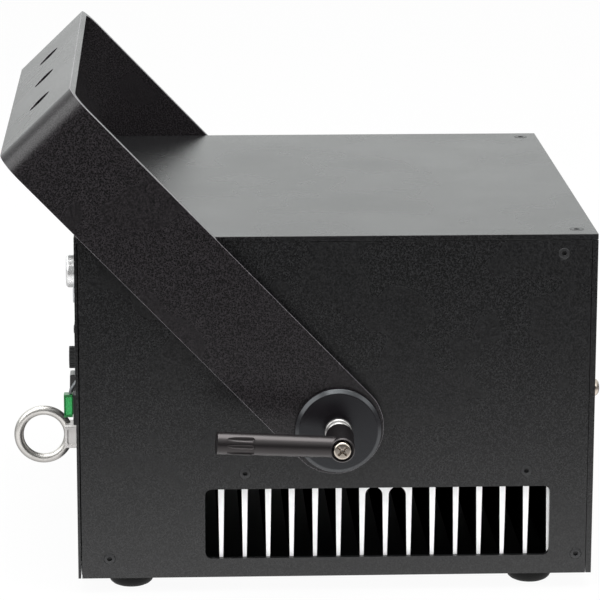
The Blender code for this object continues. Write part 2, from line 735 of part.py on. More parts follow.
def top_cover():
    """The flat cover, which lies over the sides, the front and the rear."""
    at = (CASE_LENGTH / 2, 0.0, TOP_Z - COVER_WALL / 2)
    outlines = [rectangle(0.0, 0.0, CASE_LENGTH, CASE_WIDTH)]
    for x, y in COVER_SCREWS:
        outlines.append(circle(x - at[0], y, SCREW_SHANK_HOLE / 2, TINY))
    cover = extruded("top_cover", outlines, "XY", at, COVER_WALL, "textured_black")
    countersinks(cover, [(x, y, TOP_Z) for x, y in COVER_SCREWS], "+Z", COVER_SCREW_HEAD)


def front_panel():
    """The front, with the window for the beam."""
    tall = PANEL_TOP_Z - UNDERSIDE_Z
    at = (CASE_LENGTH - FRONT_WALL / 2, 0.0, UNDERSIDE_Z + tall / 2)
    outlines = [
        rectangle(0.0, 0.0, CASE_WIDTH, tall),
        rounded(0.0, WINDOW_Z - at[2], WINDOW_WIDTH, WINDOW_TALL, WINDOW_CORNER_RADIUS),
    ]
    for _, side in SIDES:
        outlines.append(circle(side * FRONT_SCREW_Y, FRONT_SCREW_Z - at[2],
                               FRONT_SCREW_SHANK_RADIUS + BORE_GAP, TINY))
        outlines.append(circle(side * MASK_SCREW_SPACING / 2, MASK_SCREW_Z - at[2],
                               THUMB_SHANK_RADIUS + BORE_GAP, TINY))
    extruded("front_panel", outlines, "YZ", at, FRONT_WALL, "textured_black")


def rear_panel():
    """The rear, with a hole for each fitting."""
    tall = PANEL_TOP_Z - UNDERSIDE_Z
    at = (REAR_WALL / 2, 0.0, UNDERSIDE_Z + tall / 2)

    def spot(place):
        return place[0], UNDERSIDE_Z + place[1] - at[2]

    outlines = [
        rectangle(0.0, 0.0, CASE_WIDTH, tall),
        circle(*spot(EYEBOLT_AT), EYE_SHANK_RADIUS + BORE_GAP),
        rectangle(*spot(ROCKER_AT), ROCKER_BEZEL_WIDTH - 2 * ROCKER_BODY_RIM + 2 * BORE_GAP,
                  ROCKER_BEZEL_TALL - 2 * ROCKER_BODY_RIM + 2 * BORE_GAP),
        circle(*spot(FUSE_AT), FUSE_BODY_RADIUS + BORE_GAP),
        circle(*spot(KEY_SWITCH_AT), KEY_BODY_RADIUS + BORE_GAP),
        rectangle(*spot(INTERLOCK_AT), HEADER_WIDTH - 2 * HEADER_RIM + 2 * BORE_GAP,
                  HEADER_TALL - 2 * HEADER_RIM + 2 * BORE_GAP),
        rectangle(*spot(ILDA_AT), DSUB_SHELL_WIDTH + 2 * BORE_GAP, DSUB_SHELL_TALL + 2 * BORE_GAP),
    ]
    for place in (NETWORK_AT, DMX_AT, POWER_INLET_AT):
        outlines.append(circle(*spot(place), SOCKET_BODY_RADIUS + BORE_GAP, ROUND))
    extruded("rear_panel", outlines, "YZ", at, REAR_WALL, "textured_black")


def feet():
    """Four domed rubber feet under the floor plate."""
    profile = [(0.0, -FIT_GAP), (FOOT_RADIUS, -FIT_GAP)]
    profile += [(FOOT_RADIUS - inset, -depth) for inset, depth in (FOOT_EDGE, FOOT_SHOULDER, FOOT_DOME)]
    profile += [(FOOT_FLAT_RADIUS, -FOOT_HEIGHT), (0.0, -FOOT_HEIGHT)]
    for end_name, x in (("rear", FOOT_REAR_X), ("front", FOOT_FRONT_X)):
        for side_name, side in SIDES:
            at = (x, side * (HALF_WIDTH - FOOT_SIDE_INSET), UNDERSIDE_Z)
            turned(f"foot_{end_name}_{side_name}", profile, at, "+Z", "rubber_black")


def fin_comb():
    """The bed's section: a thick plate with tapered fins hanging from it, arched between them."""
    tip_z = UNDERSIDE_Z + FIN_BOTTOM_HEIGHT
    end_z = UNDERSIDE_Z + BED_END_HEIGHT
    arch = (FIN_PITCH - FIN_ROOT) / 2
    points = [(BED_REAR_X, end_z), (BED_REAR_X, BED_TOP_Z), (BED_FRONT_X, BED_TOP_Z), (BED_FRONT_X, end_z)]
    for i in reversed(range(FIN_COUNT)):
        x = FIRST_FIN_X + i * FIN_PITCH
        if i == FIN_COUNT - 1:
            points.append((x + FIN_ROOT / 2, end_z))
        points.append((x + FIN_TIP / 2, tip_z))
        points.append((x - FIN_TIP / 2, tip_z))
        if i == 0:
            points.append((x - FIN_ROOT / 2, end_z))
        else:
            top = SHALLOW_TOP_HEIGHT if i - 1 in SHALLOW_CHANNELS else CHANNEL_TOP_HEIGHT
            points += arc(x - FIN_PITCH / 2, UNDERSIDE_Z + top - arch, arch, 0.0, 180.0, FIN_ARCH_STEPS)
    return points


def heat_sink():
    """The bed that carries the optics, with two banks of fins and a slot between them for the fans."""
    at = (0.0, 0.0, 0.0)
    bed = extruded("heat_sink", [fin_comb()], "XZ", at, 2 * INNER_HALF_WIDTH, "bare_aluminium")
    slot_half = FAN_DEPTH / 2 + FIT_GAP
    slot_top = UNDERSIDE_Z + CHANNEL_TOP_HEIGHT + FAN_TOP_GAP
    cut(bed, block("fan_slot", (FIRST_FIN_X - FAN_SLOT_END_MARGIN, -slot_half, UNDERSIDE_Z),
                   (BED_FRONT_X - BED_FRONT_MARGIN + FAN_SLOT_END_MARGIN, slot_half, slot_top)))


def fan_centre_z():
    """The fans hang just under the top of their slot."""
    return UNDERSIDE_Z + CHANNEL_TOP_HEIGHT + FAN_TOP_GAP - FIT_GAP - FAN_SIZE / 2


def fan(number, x):
    """A square fan frame with a strutted hub plate, and the rotor that turns in it."""
    at = (x, 0.0, fan_centre_z())
    outlines = [rectangle(0.0, 0.0, FAN_SIZE, FAN_SIZE), circle(0.0, 0.0, FAN_BORE / 2, ROUND)]
    frame = extruded(f"fan_frame_{number}", outlines, "XZ", at, FAN_DEPTH, "moulded_black")
    strut_y = FAN_DEPTH / 2 - FAN_STRUT_INSET - FAN_STRUT_DEPTH / 2
    hub_at = (x, strut_y, at[2])
    ring = extruded("fan_hub_plate", [circle(0.0, 0.0, FAN_HUB_RADIUS, SMALL),
                                      circle(0.0, 0.0, FAN_AXLE_RADIUS + BORE_GAP, TINY)],
                    "XZ", hub_at, FAN_STRUT_DEPTH)
    inner, outer = FAN_HUB_RADIUS - FAN_STRUT_HUB_BITE, FAN_BORE / 2 + FAN_STRUT_BITE
    strut_depth = FAN_STRUT_DEPTH - 2 * FAN_HUB_PLATE_STEP
    struts = []
    for i in range(4):
        turn = Matrix.Rotation(math.radians(45 + 90 * i), 4, "Y")
        centre = ((inner + outer) / 2, 0.0, 0.0)
        struts.append(bar("fan_strut", centre, (outer - inner, strut_depth, FAN_STRUT_WIDTH), turn,
                          None, hub_at))
    join(frame, ring, *struts)
    rotor_end = strut_y - FAN_STRUT_DEPTH / 2 - FIT_GAP
    rotor_start = rotor_end - FAN_HUB_DEPTH
    axle_end = rotor_end + FAN_STRUT_DEPTH
    rotor = turned(f"fan_rotor_{number}", [
        (0.0, axle_end), (FAN_AXLE_RADIUS, axle_end), (FAN_AXLE_RADIUS, rotor_end),
        (FAN_HUB_RADIUS, rotor_end), (FAN_HUB_RADIUS, rotor_start), (0.0, rotor_start),
    ], at, "+Y", "moulded_black", SMALL)
    root, tip = FAN_HUB_RADIUS - FAN_BLADE_ROOT_DEPTH, FAN_BORE / 2 - FAN_TIP_GAP
    blade_y = (rotor_start + rotor_end) / 2
    for i in range(FAN_BLADE_COUNT):
        spin = Matrix.Rotation(math.tau * i / FAN_BLADE_COUNT, 4, "Y")
        pitch = Matrix.Rotation(math.radians(FAN_BLADE_PITCH_ANGLE), 4, "X")
        lift = Matrix.Translation((0.0, blade_y * MM, 0.0))
        size = (tip - root, FAN_BLADE_CHORD, FAN_BLADE_WALL)
        join(rotor, bar("fan_blade", ((root + tip) / 2, 0.0, 0.0), size, lift @ spin @ pitch, None, at))


def yoke():
    """The U-shaped strap, bent from one flat bar, with round ends, pivot bores and three web holes."""
    at = (PIVOT_X, 0.0, PIVOT_Z)
    upright = math.radians(YOKE_TILT)
    outer, inner = YOKE_HALF_WIDTH, YOKE_HALF_WIDTH - STRAP_WALL
    bend, inner_bend = YOKE_BEND_RADIUS, YOKE_BEND_RADIUS - STRAP_WALL
    reach, end = YOKE_REACH, -STRAP_WIDTH / 2 - CUT_REACH
    outline = [(outer, end)]
    outline += arc(outer - bend, reach - bend, bend, 0.0, 90.0, BEND_STEPS)
    outline += arc(bend - outer, reach - bend, bend, 90.0, 180.0, BEND_STEPS)
    outline += [(-outer, end), (-inner, end)]
    outline += arc(bend - outer, reach - bend, inner_bend, 180.0, 90.0, BEND_STEPS)
    outline += arc(outer - bend, reach - bend, inner_bend, 90.0, 0.0, BEND_STEPS)
    outline.append((inner, end))
    lean = Matrix.Rotation(-upright, 4, "Y")

    def leaning(plane):
        return (lean @ Matrix.Rotation(PLANES[plane][2], 4, "Z")
                @ Matrix.Rotation(PLANES[plane][0], 4, "X")).to_euler()

    strap = extruded("yoke", [outline], "YZ", at, STRAP_WIDTH, "yoke_black", leaning("YZ"))
    half, steps = STRAP_WIDTH / 2, YOKE_END_STEPS
    edge = half + CUT_REACH
    hollow = half / math.cos(math.pi / steps / 2)
    shift = STRAP_END_SHIFT
    round_off = [(-edge, shift)] + arc(0.0, shift, hollow, 180.0, 360.0, steps)
    round_off += [(edge, shift), (edge, end - edge), (-edge, end - edge)]
    across = 2 * (outer + CUT_REACH)
    cut(strap,
        extruded("end_cutter", [round_off], "XZ", at, across, None, leaning("XZ")),
        extruded("pivot_cutter", [circle(0.0, 0.0, BUSH_SHOULDER_RADIUS + BORE_GAP, ROUND)], "XZ", at, across,
                 None, leaning("XZ")))
    for i in (-1, 0, 1):
        hole = circle(0.0, i * WEB_HOLE_PITCH, WEB_HOLE / 2, ROUND)
        through = 2 * (reach + CUT_REACH)
        cut(strap, extruded("web_hole_cutter", [hole], "XY", at, through, None, lean.to_euler()))


def clamp(side_name, side):
    """One pivot: bush in the side panel, disc on the arm, stud through both, and the lever on top."""
    axis = "-Y" if side < 0 else "+Y"
    at = (PIVOT_X, side * HALF_WIDTH, PIVOT_Z)
    bore = STUD_RADIUS + BORE_GAP
    turned(f"pivot_bush_{side_name}", [
        (bore, ARM_OUTER - FIT_GAP),
        (BUSH_SHOULDER_RADIUS, ARM_OUTER - FIT_GAP),
        (BUSH_SHOULDER_RADIUS, ARM_INNER - FIT_GAP),
        (BUSH_FLANGE_RADIUS, ARM_INNER - FIT_GAP),
        (BUSH_FLANGE_RADIUS, FIT_GAP),
        (BUSH_BARREL_RADIUS, FIT_GAP),
        (BUSH_BARREL_RADIUS, -BUSH_BARREL_LENGTH),
        (bore, -BUSH_BARREL_LENGTH),
    ], at, axis, "zinc_steel")
    turned(f"clamp_disc_{side_name}", [
        (bore, DISC_OUTER),
        (DISC_RADIUS - DISC_CHAMFER, DISC_OUTER),
        (DISC_RADIUS, DISC_OUTER - DISC_CHAMFER_DEPTH),
        (DISC_RADIUS, DISC_INNER),
        (bore, DISC_INNER),
    ], at, axis, "anodised_black", FINE)
    screw_bore = CLAMP_SCREW_SHANK_RADIUS + BORE_GAP
    turned(f"clamp_stud_{side_name}", [
        (0.0, STUD_TOP - CLAMP_SCREW_BITE - FIT_GAP),
        (screw_bore, STUD_TOP - CLAMP_SCREW_BITE - FIT_GAP),
        (screw_bore, STUD_TOP),
        (STUD_RADIUS, STUD_TOP),
        (STUD_RADIUS, STUD_FLANGE_OUTER),
        (STUD_FLANGE_RADIUS, STUD_FLANGE_OUTER),
        (STUD_FLANGE_RADIUS, STUD_FLANGE_INNER),
        (STUD_RADIUS, STUD_FLANGE_INNER),
        (STUD_RADIUS, -BUSH_BARREL_LENGTH),
        (0.0, -BUSH_BARREL_LENGTH),
    ], at, axis, "chrome", SMALL)
    head = CLAMP_SCREW_HEAD_RADIUS
    turned(f"clamp_screw_{side_name}", [
        (0.0, CLAMP_HEAD_TOP),
        *[(head * share, CLAMP_HEAD_TOP - drop) for share, drop in CLAMP_SCREW_DOME],
        (head, CLAMP_HEAD_UNDER),
        (CLAMP_SCREW_SHANK_RADIUS, CLAMP_HEAD_UNDER),
        (CLAMP_SCREW_SHANK_RADIUS, STUD_TOP - CLAMP_SCREW_BITE),
        (0.0, STUD_TOP - CLAMP_SCREW_BITE),
    ], at, axis, "stainless", SMALL)
    clamp_lever(side_name, side, at, axis)


def clamp_lever(side_name, side, at, axis):
    """The lever: a slim hub, an arm that leans outwards, and a bore that holds the spring and the screw."""
    lever = turned(f"clamp_lever_{side_name}", [
        (0.0, LEVER_TOP),
        (LEVER_HUB_TOP_RADIUS, LEVER_TOP),
        (LEVER_HUB_TOP_RADIUS, LEVER_TOP - LEVER_HUB_RIM),
        (LEVER_HUB_RADIUS, LEVER_BASE + LEVER_HUB_FOOT),
        (LEVER_HUB_RADIUS, LEVER_BASE),
        (0.0, LEVER_BASE),
    ], at, axis, "anodised_black")
    arm_start = LEVER_TOP - LEVER_ARM_DROP
    reach = LEVER_REACH
    swing = Matrix.Rotation(math.radians(LEVER_REST_ANGLE), 4, "Y")
    lean = Matrix.Rotation(math.radians(-side * LEVER_LEAN_ANGLE), 4, "Z")
    lift = Matrix.Translation((0.0, side * arm_start * MM, 0.0))
    rearwards = Matrix.Rotation(-math.pi / 2, 4, "Y")
    join(lever, lever_rod("lever_arm", reach, LEVER_ROOT_RADIUS, LEVER_TIP_RADIUS,
                          lift @ swing @ lean @ rearwards, at))
    flute_start = reach - LEVER_FLUTE_FROM_TIP - LEVER_FLUTE_LENGTH
    for i in (-1, 0, 1):
        around = Matrix.Rotation(math.radians(i * LEVER_FLUTE_SPREAD_ANGLE), 4, "X")
        outwards = Matrix.Translation((0.0, side * (LEVER_TIP_RADIUS + LEVER_FLUTE_RAISE) * MM, 0.0))
        along = Matrix.Translation((-flute_start * MM, 0.0, 0.0))
        placed = lift @ swing @ lean @ around @ outwards @ along @ rearwards
        cut(lever, lever_rod("lever_flute", LEVER_FLUTE_LENGTH, LEVER_FLUTE_RADIUS, LEVER_FLUTE_RADIUS,
                             placed, at, LEVER_FLUTE_FACETS))
    spring_floor = LEVER_BASE + LEVER_WALL_UNDER_SPRING
    cut(lever,
        rod("spring_bore", at, axis, CLAMP_SCREW_HEAD_RADIUS + BORE_GAP, spring_floor, LEVER_TOP + CUT_REACH),
        rod("stud_bore", at, axis, STUD_RADIUS + BORE_GAP, LEVER_BASE - CUT_REACH, spring_floor + CUT_REACH))


def lever_rod(name, length, root_radius, tip_radius, matrix, at, steps=SMALL):
    """A tapered round bar that starts at the origin and runs along +Z before the matrix turns it."""
    mesh = bpy.data.meshes.new(name)
    shape = bmesh.new()
    bmesh.ops.create_cone(shape, cap_ends=True, segments=steps, radius1=root_radius * MM,
                          radius2=tip_radius * MM, depth=length * MM)
    raise_half = Matrix.Translation((0.0, 0.0, length / 2 * MM))
    bmesh.ops.transform(shape, matrix=matrix @ raise_half, verts=shape.verts)
    shape.to_mesh(mesh)
    shape.free()
    return add_object(name, mesh, None, at)


def front_fittings():
    """Glass, masking plate, thumbscrews and the two button-head screws."""
    glass_front = CASE_LENGTH - FRONT_WALL - FIT_GAP
    half_w, half_t = WINDOW_WIDTH / 2 + GLASS_OVERLAP, WINDOW_TALL / 2 + GLASS_OVERLAP
    block("window_glass", (glass_front - GLASS_WALL, -half_w, WINDOW_Z - half_t),
          (glass_front, half_w, WINDOW_Z + half_t), "optical_glass")
    at = (MASK_REAR_X + MASK_WALL / 2, 0.0, MASK_TOP_Z - MASK_TALL / 2)
    outlines = [rounded(0.0, 0.0, MASK_WIDTH, MASK_TALL, MASK_CORNER_RADIUS)]
    slot_radius = THUMB_SHANK_RADIUS + BORE_GAP
    slot_tall = MASK_TRAVEL + 2 * slot_radius
    slot_z = MASK_SCREW_Z - MASK_TRAVEL / 2 - at[2]
    for _, side in SIDES:
        outlines.append(rounded(side * MASK_SCREW_SPACING / 2, slot_z, 2 * slot_radius, slot_tall,
                                slot_radius * MASK_SLOT_ROUNDING))
    extruded("aperture_mask", outlines, "YZ", at, MASK_WALL, "textured_black")
    for side_name, side in SIDES:
        y = side * MASK_SCREW_SPACING / 2
        screw_at = (THUMB_HEAD_X + THUMB_HEAD_LENGTH / 2, y, MASK_SCREW_Z)
        grip = ridged(THUMB_HEAD_RADIUS, THUMB_RIDGE_DEPTH, THUMB_RIDGES)
        head = extruded(f"mask_thumbscrew_{side_name}", [grip], "YZ", screw_at, THUMB_HEAD_LENGTH,
                        "stainless")
        shank = THUMB_HEAD_X - INNER_FRONT_X
        join(head, rod("thumb_shank", (THUMB_HEAD_X, y, MASK_SCREW_Z), "-X", THUMB_SHANK_RADIUS,
                       -CUT_REACH, shank, TINY))
        button = FRONT_SCREW_HEAD_RADIUS
        outer = FIT_GAP + FRONT_SCREW_HEAD_HEIGHT
        turned(f"front_screw_{side_name}", [
            (0.0, outer),
            *[(button * share, outer - drop) for share, drop in FRONT_SCREW_DOME],
            (button, FIT_GAP),
            (FRONT_SCREW_SHANK_RADIUS, FIT_GAP),
            (FRONT_SCREW_SHANK_RADIUS, -FRONT_SCREW_LENGTH),
            (0.0, -FRONT_SCREW_LENGTH),
        ], (CASE_LENGTH, side * FRONT_SCREW_Y, FRONT_SCREW_Z), "+X", "stainless")


def lasers():
    """Three laser modules side by side on the bed, each with a round snout where its beam leaves."""
    z = BED_TOP_Z + FIT_GAP
    front = LASER_REAR_X + LASER_LENGTH
    for name, y in zip(LASER_NODES, LASER_Y):
        module = block(name, (LASER_REAR_X, y - LASER_WIDTH / 2, z),
                       (front, y + LASER_WIDTH / 2, z + LASER_TALL), "anodised_black")
        join(module, rod("laser_snout", (front, y, BEAM_Z), "+X", LASER_SNOUT_RADIUS, -LASER_SNOUT_BITE,
                         LASER_SNOUT_LENGTH))


def mirrors():
    """Three upright mirrors at 45 degrees that fold the three beams into one line along Y."""
    z = BED_TOP_Z + FIT_GAP
    for name, y in zip(MIRROR_NODES, LASER_Y):
        half = MIRROR_BASE / 2
        base = block(name, (MIRROR_LINE_X - half, y - half, z),
                     (MIRROR_LINE_X + half, y + half, z + MIRROR_BASE_WALL), "mirror_silver")
        bottom, top = z + MIRROR_BASE_WALL / 2, BEAM_Z + MIRROR_PLATE_ABOVE_BEAM
        turn = Matrix.Rotation(math.radians(45), 4, "Z")
        join(base, bar("mirror_plate", (0.0, 0.0, (top - bottom) / 2),
                       (MIRROR_PLATE_WIDTH, MIRROR_PLATE_WALL, top - bottom), turn, None,
                       (MIRROR_LINE_X, y, bottom)))


def galvos():
    """The scanner: a block with two motors at right angles, each turning a small mirror on its shaft."""
    bore = GALVO_MOTOR_RADIUS + BORE_GAP
    wall = bore + GALVO_BLOCK_WALL
    back = GALVO_MOTOR_TO_MIRROR
    far = back + GALVO_MOTOR_LENGTH
    inset = GALVO_BLOCK_END_GAP
    z = BED_TOP_Z + FIT_GAP
    second_z = BEAM_Z + GALVO_MIRROR_RISE
    holder = block("galvo_block", (MIRROR_LINE_X - far + inset, -wall, z),
                   (MIRROR_LINE_X - back, wall, BEAM_Z + wall), "bare_aluminium")
    join(holder, block("galvo_block_side", (MIRROR_LINE_X - wall, back, z),
                       (MIRROR_LINE_X + wall, far - inset, second_z + wall)))
    first_at = (MIRROR_LINE_X, 0.0, BEAM_Z)
    second_at = (MIRROR_LINE_X, 0.0, second_z)
    cut(holder,
        rod("galvo_bore_x", first_at, "-X", bore, back - CUT_REACH, far + CUT_REACH),
        rod("galvo_bore_y", second_at, "+Y", bore, back - CUT_REACH, far + CUT_REACH))
    shaft_bore = GALVO_SHAFT_RADIUS + BORE_GAP
    deep = back + GALVO_SHAFT_BITE
    for label, at, axis in (("x", first_at, "-X"), ("y", second_at, "+Y")):
        turned(f"galvo_motor_{label}", [
            (0.0, far), (GALVO_MOTOR_RADIUS, far), (GALVO_MOTOR_RADIUS, back), (shaft_bore, back),
            (shaft_bore, deep), (0.0, deep),
        ], at, axis, "anodised_black")
        shaft_end = deep - FIT_GAP
        holder_end = back - FIT_GAP
        holder_start = holder_end - GALVO_HOLDER_LENGTH
        mirror = turned(f"galvo_mirror_{label}", [
            (0.0, shaft_end), (GALVO_SHAFT_RADIUS, shaft_end), (GALVO_SHAFT_RADIUS, holder_end),
            (GALVO_HOLDER_RADIUS, holder_end), (GALVO_HOLDER_RADIUS, holder_start), (0.0, holder_start),
        ], at, axis, "mirror_silver", TINY)
        length = GALVO_MIRROR_LENGTH
        middle = holder_start + 1.0 - length / 2
        if axis == "-X":
            turn = Matrix.Rotation(math.radians(45), 4, "X")
            size = (length, GALVO_MIRROR_WIDTH, GALVO_MIRROR_WALL)
            centre = (-middle, 0.0, 0.0)
        else:
            turn = Matrix.Rotation(math.radians(45), 4, "Y")
            size = (GALVO_MIRROR_WIDTH, length, GALVO_MIRROR_WALL)
            centre = (0.0, middle, 0.0)
        join(mirror, bar("galvo_mirror_plate", centre, size, turn, None, at))


def electronics():
    """Power supply on the floor, control board behind the rear panel, scanner driver on the bed."""
    z = FLOOR_TOP_Z + FIT_GAP
    block("power_supply", (SUPPLY_REAR_X, -SUPPLY_WIDTH / 2, z),
          (SUPPLY_REAR_X + SUPPLY_LENGTH, SUPPLY_WIDTH / 2, z + SUPPLY_TALL), "zinc_steel")
    y0, y1 = CONTROL_BOARD_MIDDLE_GAP, INNER_HALF_WIDTH - POST_WIDTH - CONTROL_BOARD_POST_GAP
    z0, z1 = UNDERSIDE_Z + CONTROL_BOARD_HEIGHT, TOP_Z - CONTROL_BOARD_TOP_DROP
    board = block("control_board", (CONTROL_BOARD_X, y0, z0), (CONTROL_BOARD_X + BOARD_WALL, y1, z1),
                  "circuit_green")
    for y in (y0 + PILLAR_INSET, y1 - PILLAR_INSET):
        for height in (z0 + PILLAR_INSET, z1 - PILLAR_INSET):
            join(board, rod("board_pillar", (INNER_REAR_X, y, height), "+X", PILLAR_RADIUS, 0.0,
                            CONTROL_BOARD_X + BOARD_WALL / 2 - INNER_REAR_X, TINY))
    chip_y, chip_z = (y0 + y1) / 2, (z0 + z1) / 2
    chip_half = CHIP_SIZE / 2
    chip_low = (CONTROL_BOARD_X + BOARD_WALL / 2, chip_y - chip_half, chip_z - chip_half)
    chip_high = (CONTROL_BOARD_X + BOARD_WALL + CHIP_WALL, chip_y + chip_half, chip_z + chip_half)
    join(board, block("board_chip", chip_low, chip_high))
    bottom = BED_TOP_Z + FIT_GAP
    under = bottom + DRIVER_PILLAR_LENGTH
    x0, x1 = DRIVER_REAR_X, DRIVER_REAR_X + DRIVER_LENGTH
    y1 = INNER_HALF_WIDTH - DRIVER_SIDE_GAP
    y0 = y1 - DRIVER_WIDTH
    driver = block("galvo_driver", (x0, y0, under), (x1, y1, under + BOARD_WALL), "circuit_green")
    for x in (x0 + PILLAR_INSET, x1 - PILLAR_INSET):
        for y in (y0 + PILLAR_INSET, y1 - PILLAR_INSET):
            join(driver, rod("driver_pillar", (x, y, bottom), "+Z", PILLAR_RADIUS, 0.0,
                             DRIVER_PILLAR_LENGTH + BOARD_WALL / 2, TINY))
    bar_low = (x0 + CHIP_SIZE, y0 + CHIP_SIZE, under + BOARD_WALL / 2)
    bar_high = (x1 - CHIP_SIZE, y0 + 2 * CHIP_SIZE, under + CHIP_SIZE)
    join(driver, block("driver_heat_bar", bar_low, bar_high))


def rear_point(place):
    """The point on the rear panel's outer face for a fitting's place."""
    return 0.0, place[0], UNDERSIDE_Z + place[1]


def eyebolt():
    """The safety eye: a ring on a square block, with its shank through the rear panel."""
    at = rear_point(EYEBOLT_AT)
    outline = rounded(0.0, 0.0, EYE_BLOCK_WIDTH, EYE_BLOCK_TALL, EYE_BLOCK_CORNER_RADIUS)
    middle_x = -FIT_GAP - EYE_BLOCK_LENGTH / 2
    bolt = extruded("eyebolt", [outline], "YZ", (middle_x, at[1], at[2]), EYE_BLOCK_LENGTH, "stainless")
    join(bolt, rod("eye_shank", at, "-X", EYE_SHANK_RADIUS, -EYE_SHANK_LENGTH, FIT_GAP + CUT_REACH))
    mesh = bpy.data.meshes.new("eye_ring")
    shape = bmesh.new()
    section = [(EYE_RING_RADIUS + x, z) for x, z in circle(0.0, 0.0, EYE_WIRE_RADIUS, EYE_WIRE_FACETS)]
    points = [shape.verts.new((x * MM, 0.0, z * MM)) for x, z in section]
    edges = [shape.edges.new((points[i - 1], points[i])) for i in range(EYE_WIRE_FACETS)]
    bmesh.ops.spin(shape, geom=points + edges, cent=(0.0, 0.0, 0.0), axis=(0.0, 0.0, 1.0), angle=math.tau,
                   steps=FINE, use_merge=True, use_duplicate=False)
    bmesh.ops.remove_doubles(shape, verts=shape.verts, dist=WELD)
    bmesh.ops.transform(shape, matrix=Matrix.Rotation(math.pi / 2, 4, "X"), verts=shape.verts)
    bmesh.ops.recalc_face_normals(shape, faces=shape.faces)
    shape.to_mesh(mesh)
    shape.free()
    join(bolt, add_object("eye_ring", mesh, None, (-EYE_STANDOFF, at[1], at[2])))


def key_switch():
    """The key switch: a polished barrel, and the plug that the key turns."""
    at = rear_point(KEY_SWITCH_AT)
    proud = KEY_BARREL_PROUD
    bore = KEY_PLUG_RADIUS + BORE_GAP
    plug_inner = proud - FIT_GAP - KEY_PLUG_LENGTH
    turned("key_switch_barrel", [
        (bore, proud), *[(KEY_BARREL_RADIUS - inset, proud - drop) for inset, drop in KEY_BARREL_EDGE],
        (KEY_BARREL_RADIUS, FIT_GAP), (KEY_BODY_RADIUS, FIT_GAP),
        (KEY_BODY_RADIUS, -KEY_BODY_LENGTH), (0.0, -KEY_BODY_LENGTH), (0.0, plug_inner - FIT_GAP),
        (bore, plug_inner - FIT_GAP),
    ], at, "-X", "chrome")
    plug = turned("key_switch_plug", [
        (0.0, proud - FIT_GAP), (KEY_PLUG_RADIUS, proud - FIT_GAP), (KEY_PLUG_RADIUS, plug_inner),
        (0.0, plug_inner),
    ], at, "-X", "stainless")
    slot_x = -proud + FIT_GAP
    cut(plug, block("key_slot", (slot_x - CUT_REACH, at[1] - KEY_SLOT_WALL / 2, at[2] - KEY_SLOT_TALL / 2),
                    (slot_x + KEY_SLOT_DEPTH, at[1] + KEY_SLOT_WALL / 2, at[2] + KEY_SLOT_TALL / 2)))


def fuse():
    """The fuse holder and its ridged cap, which turns out like a bayonet."""
    at = rear_point(FUSE_AT)
    bore = FUSE_PLUG_RADIUS + BORE_GAP
    cap_inner = FIT_GAP + FUSE_FLANGE_WALL + FIT_GAP
    turned("fuse_holder", [
        (bore, FIT_GAP + FUSE_FLANGE_WALL), (FUSE_FLANGE_RADIUS, FIT_GAP + FUSE_FLANGE_WALL),
        (FUSE_FLANGE_RADIUS, FIT_GAP), (FUSE_BODY_RADIUS, FIT_GAP), (FUSE_BODY_RADIUS, -FUSE_BODY_LENGTH),
        (0.0, -FUSE_BODY_LENGTH), (0.0, -FUSE_PLUG_LENGTH - FIT_GAP), (bore, -FUSE_PLUG_LENGTH - FIT_GAP),
    ], at, "-X", "moulded_black")
    cap_at = (-cap_inner - FUSE_CAP_LENGTH / 2, at[1], at[2])
    outline = ridged(FUSE_CAP_RADIUS, FUSE_CAP_RIDGE_DEPTH, FUSE_CAP_RIDGES)
    cap = extruded("fuse_cap", [outline], "YZ", cap_at, FUSE_CAP_LENGTH, "moulded_black")
    join(cap, rod("fuse_plug", at, "-X", FUSE_PLUG_RADIUS, -FUSE_PLUG_LENGTH, cap_inner + CUT_REACH))


def rocker_switch():
    """The mains switch: a bezel with a pocket, and a dished rocker that tips in it."""
    x, y, z = rear_point(ROCKER_AT)
    half_w, half_t = ROCKER_BEZEL_WIDTH / 2, ROCKER_BEZEL_TALL / 2
    bezel_x = -FIT_GAP - ROCKER_BEZEL_WALL
    frame = block("rocker_frame", (bezel_x, y - half_w, z - half_t), (-FIT_GAP, y + half_w, z + half_t),
                  "moulded_black")
    body_w, body_t = half_w - ROCKER_BODY_RIM, half_t - ROCKER_BODY_RIM
    join(frame, block("rocker_body", (-FIT_GAP - ROCKER_BEZEL_WALL / 2, y - body_w, z - body_t),
                      (ROCKER_BODY_LENGTH, y + body_w, z + body_t)))
    pocket_w, pocket_t = half_w - ROCKER_RIM, half_t - ROCKER_RIM
    cut(frame, block("rocker_pocket", (bezel_x - CUT_REACH, y - pocket_w, z - pocket_t),
                     (ROCKER_POCKET_DEPTH, y + pocket_w, z + pocket_t)))
    hinge = (ROCKER_HINGE_DEPTH, y, z)
    long_half = pocket_t - FIT_GAP
    face = ROCKER_PROUD + ROCKER_HINGE_DEPTH
    leg = ROCKER_LEG_DEPTH - ROCKER_HINGE_DEPTH
    waist = long_half - ROCKER_EDGE / 2
    edge_x, edge_half = -face + ROCKER_EDGE_DEPTH, waist - ROCKER_SIDE_DRAFT
    outline = [
        (-face, long_half - ROCKER_EDGE), (-face + ROCKER_DISH, 0.0), (-face, ROCKER_EDGE - long_half),
        (edge_x, -edge_half), (0.0, -waist), (leg, -long_half / 3),
        (leg, long_half / 3), (0.0, waist), (edge_x, edge_half),
    ]
    tip = Matrix.Rotation(math.radians(ROCKER_THROW / 2), 4, "Y") @ Matrix.Rotation(math.pi / 2, 4, "X")
    extruded("rocker", [outline], "XZ", hinge, 2 * (pocket_w - FIT_GAP), "moulded_black", tip.to_euler())


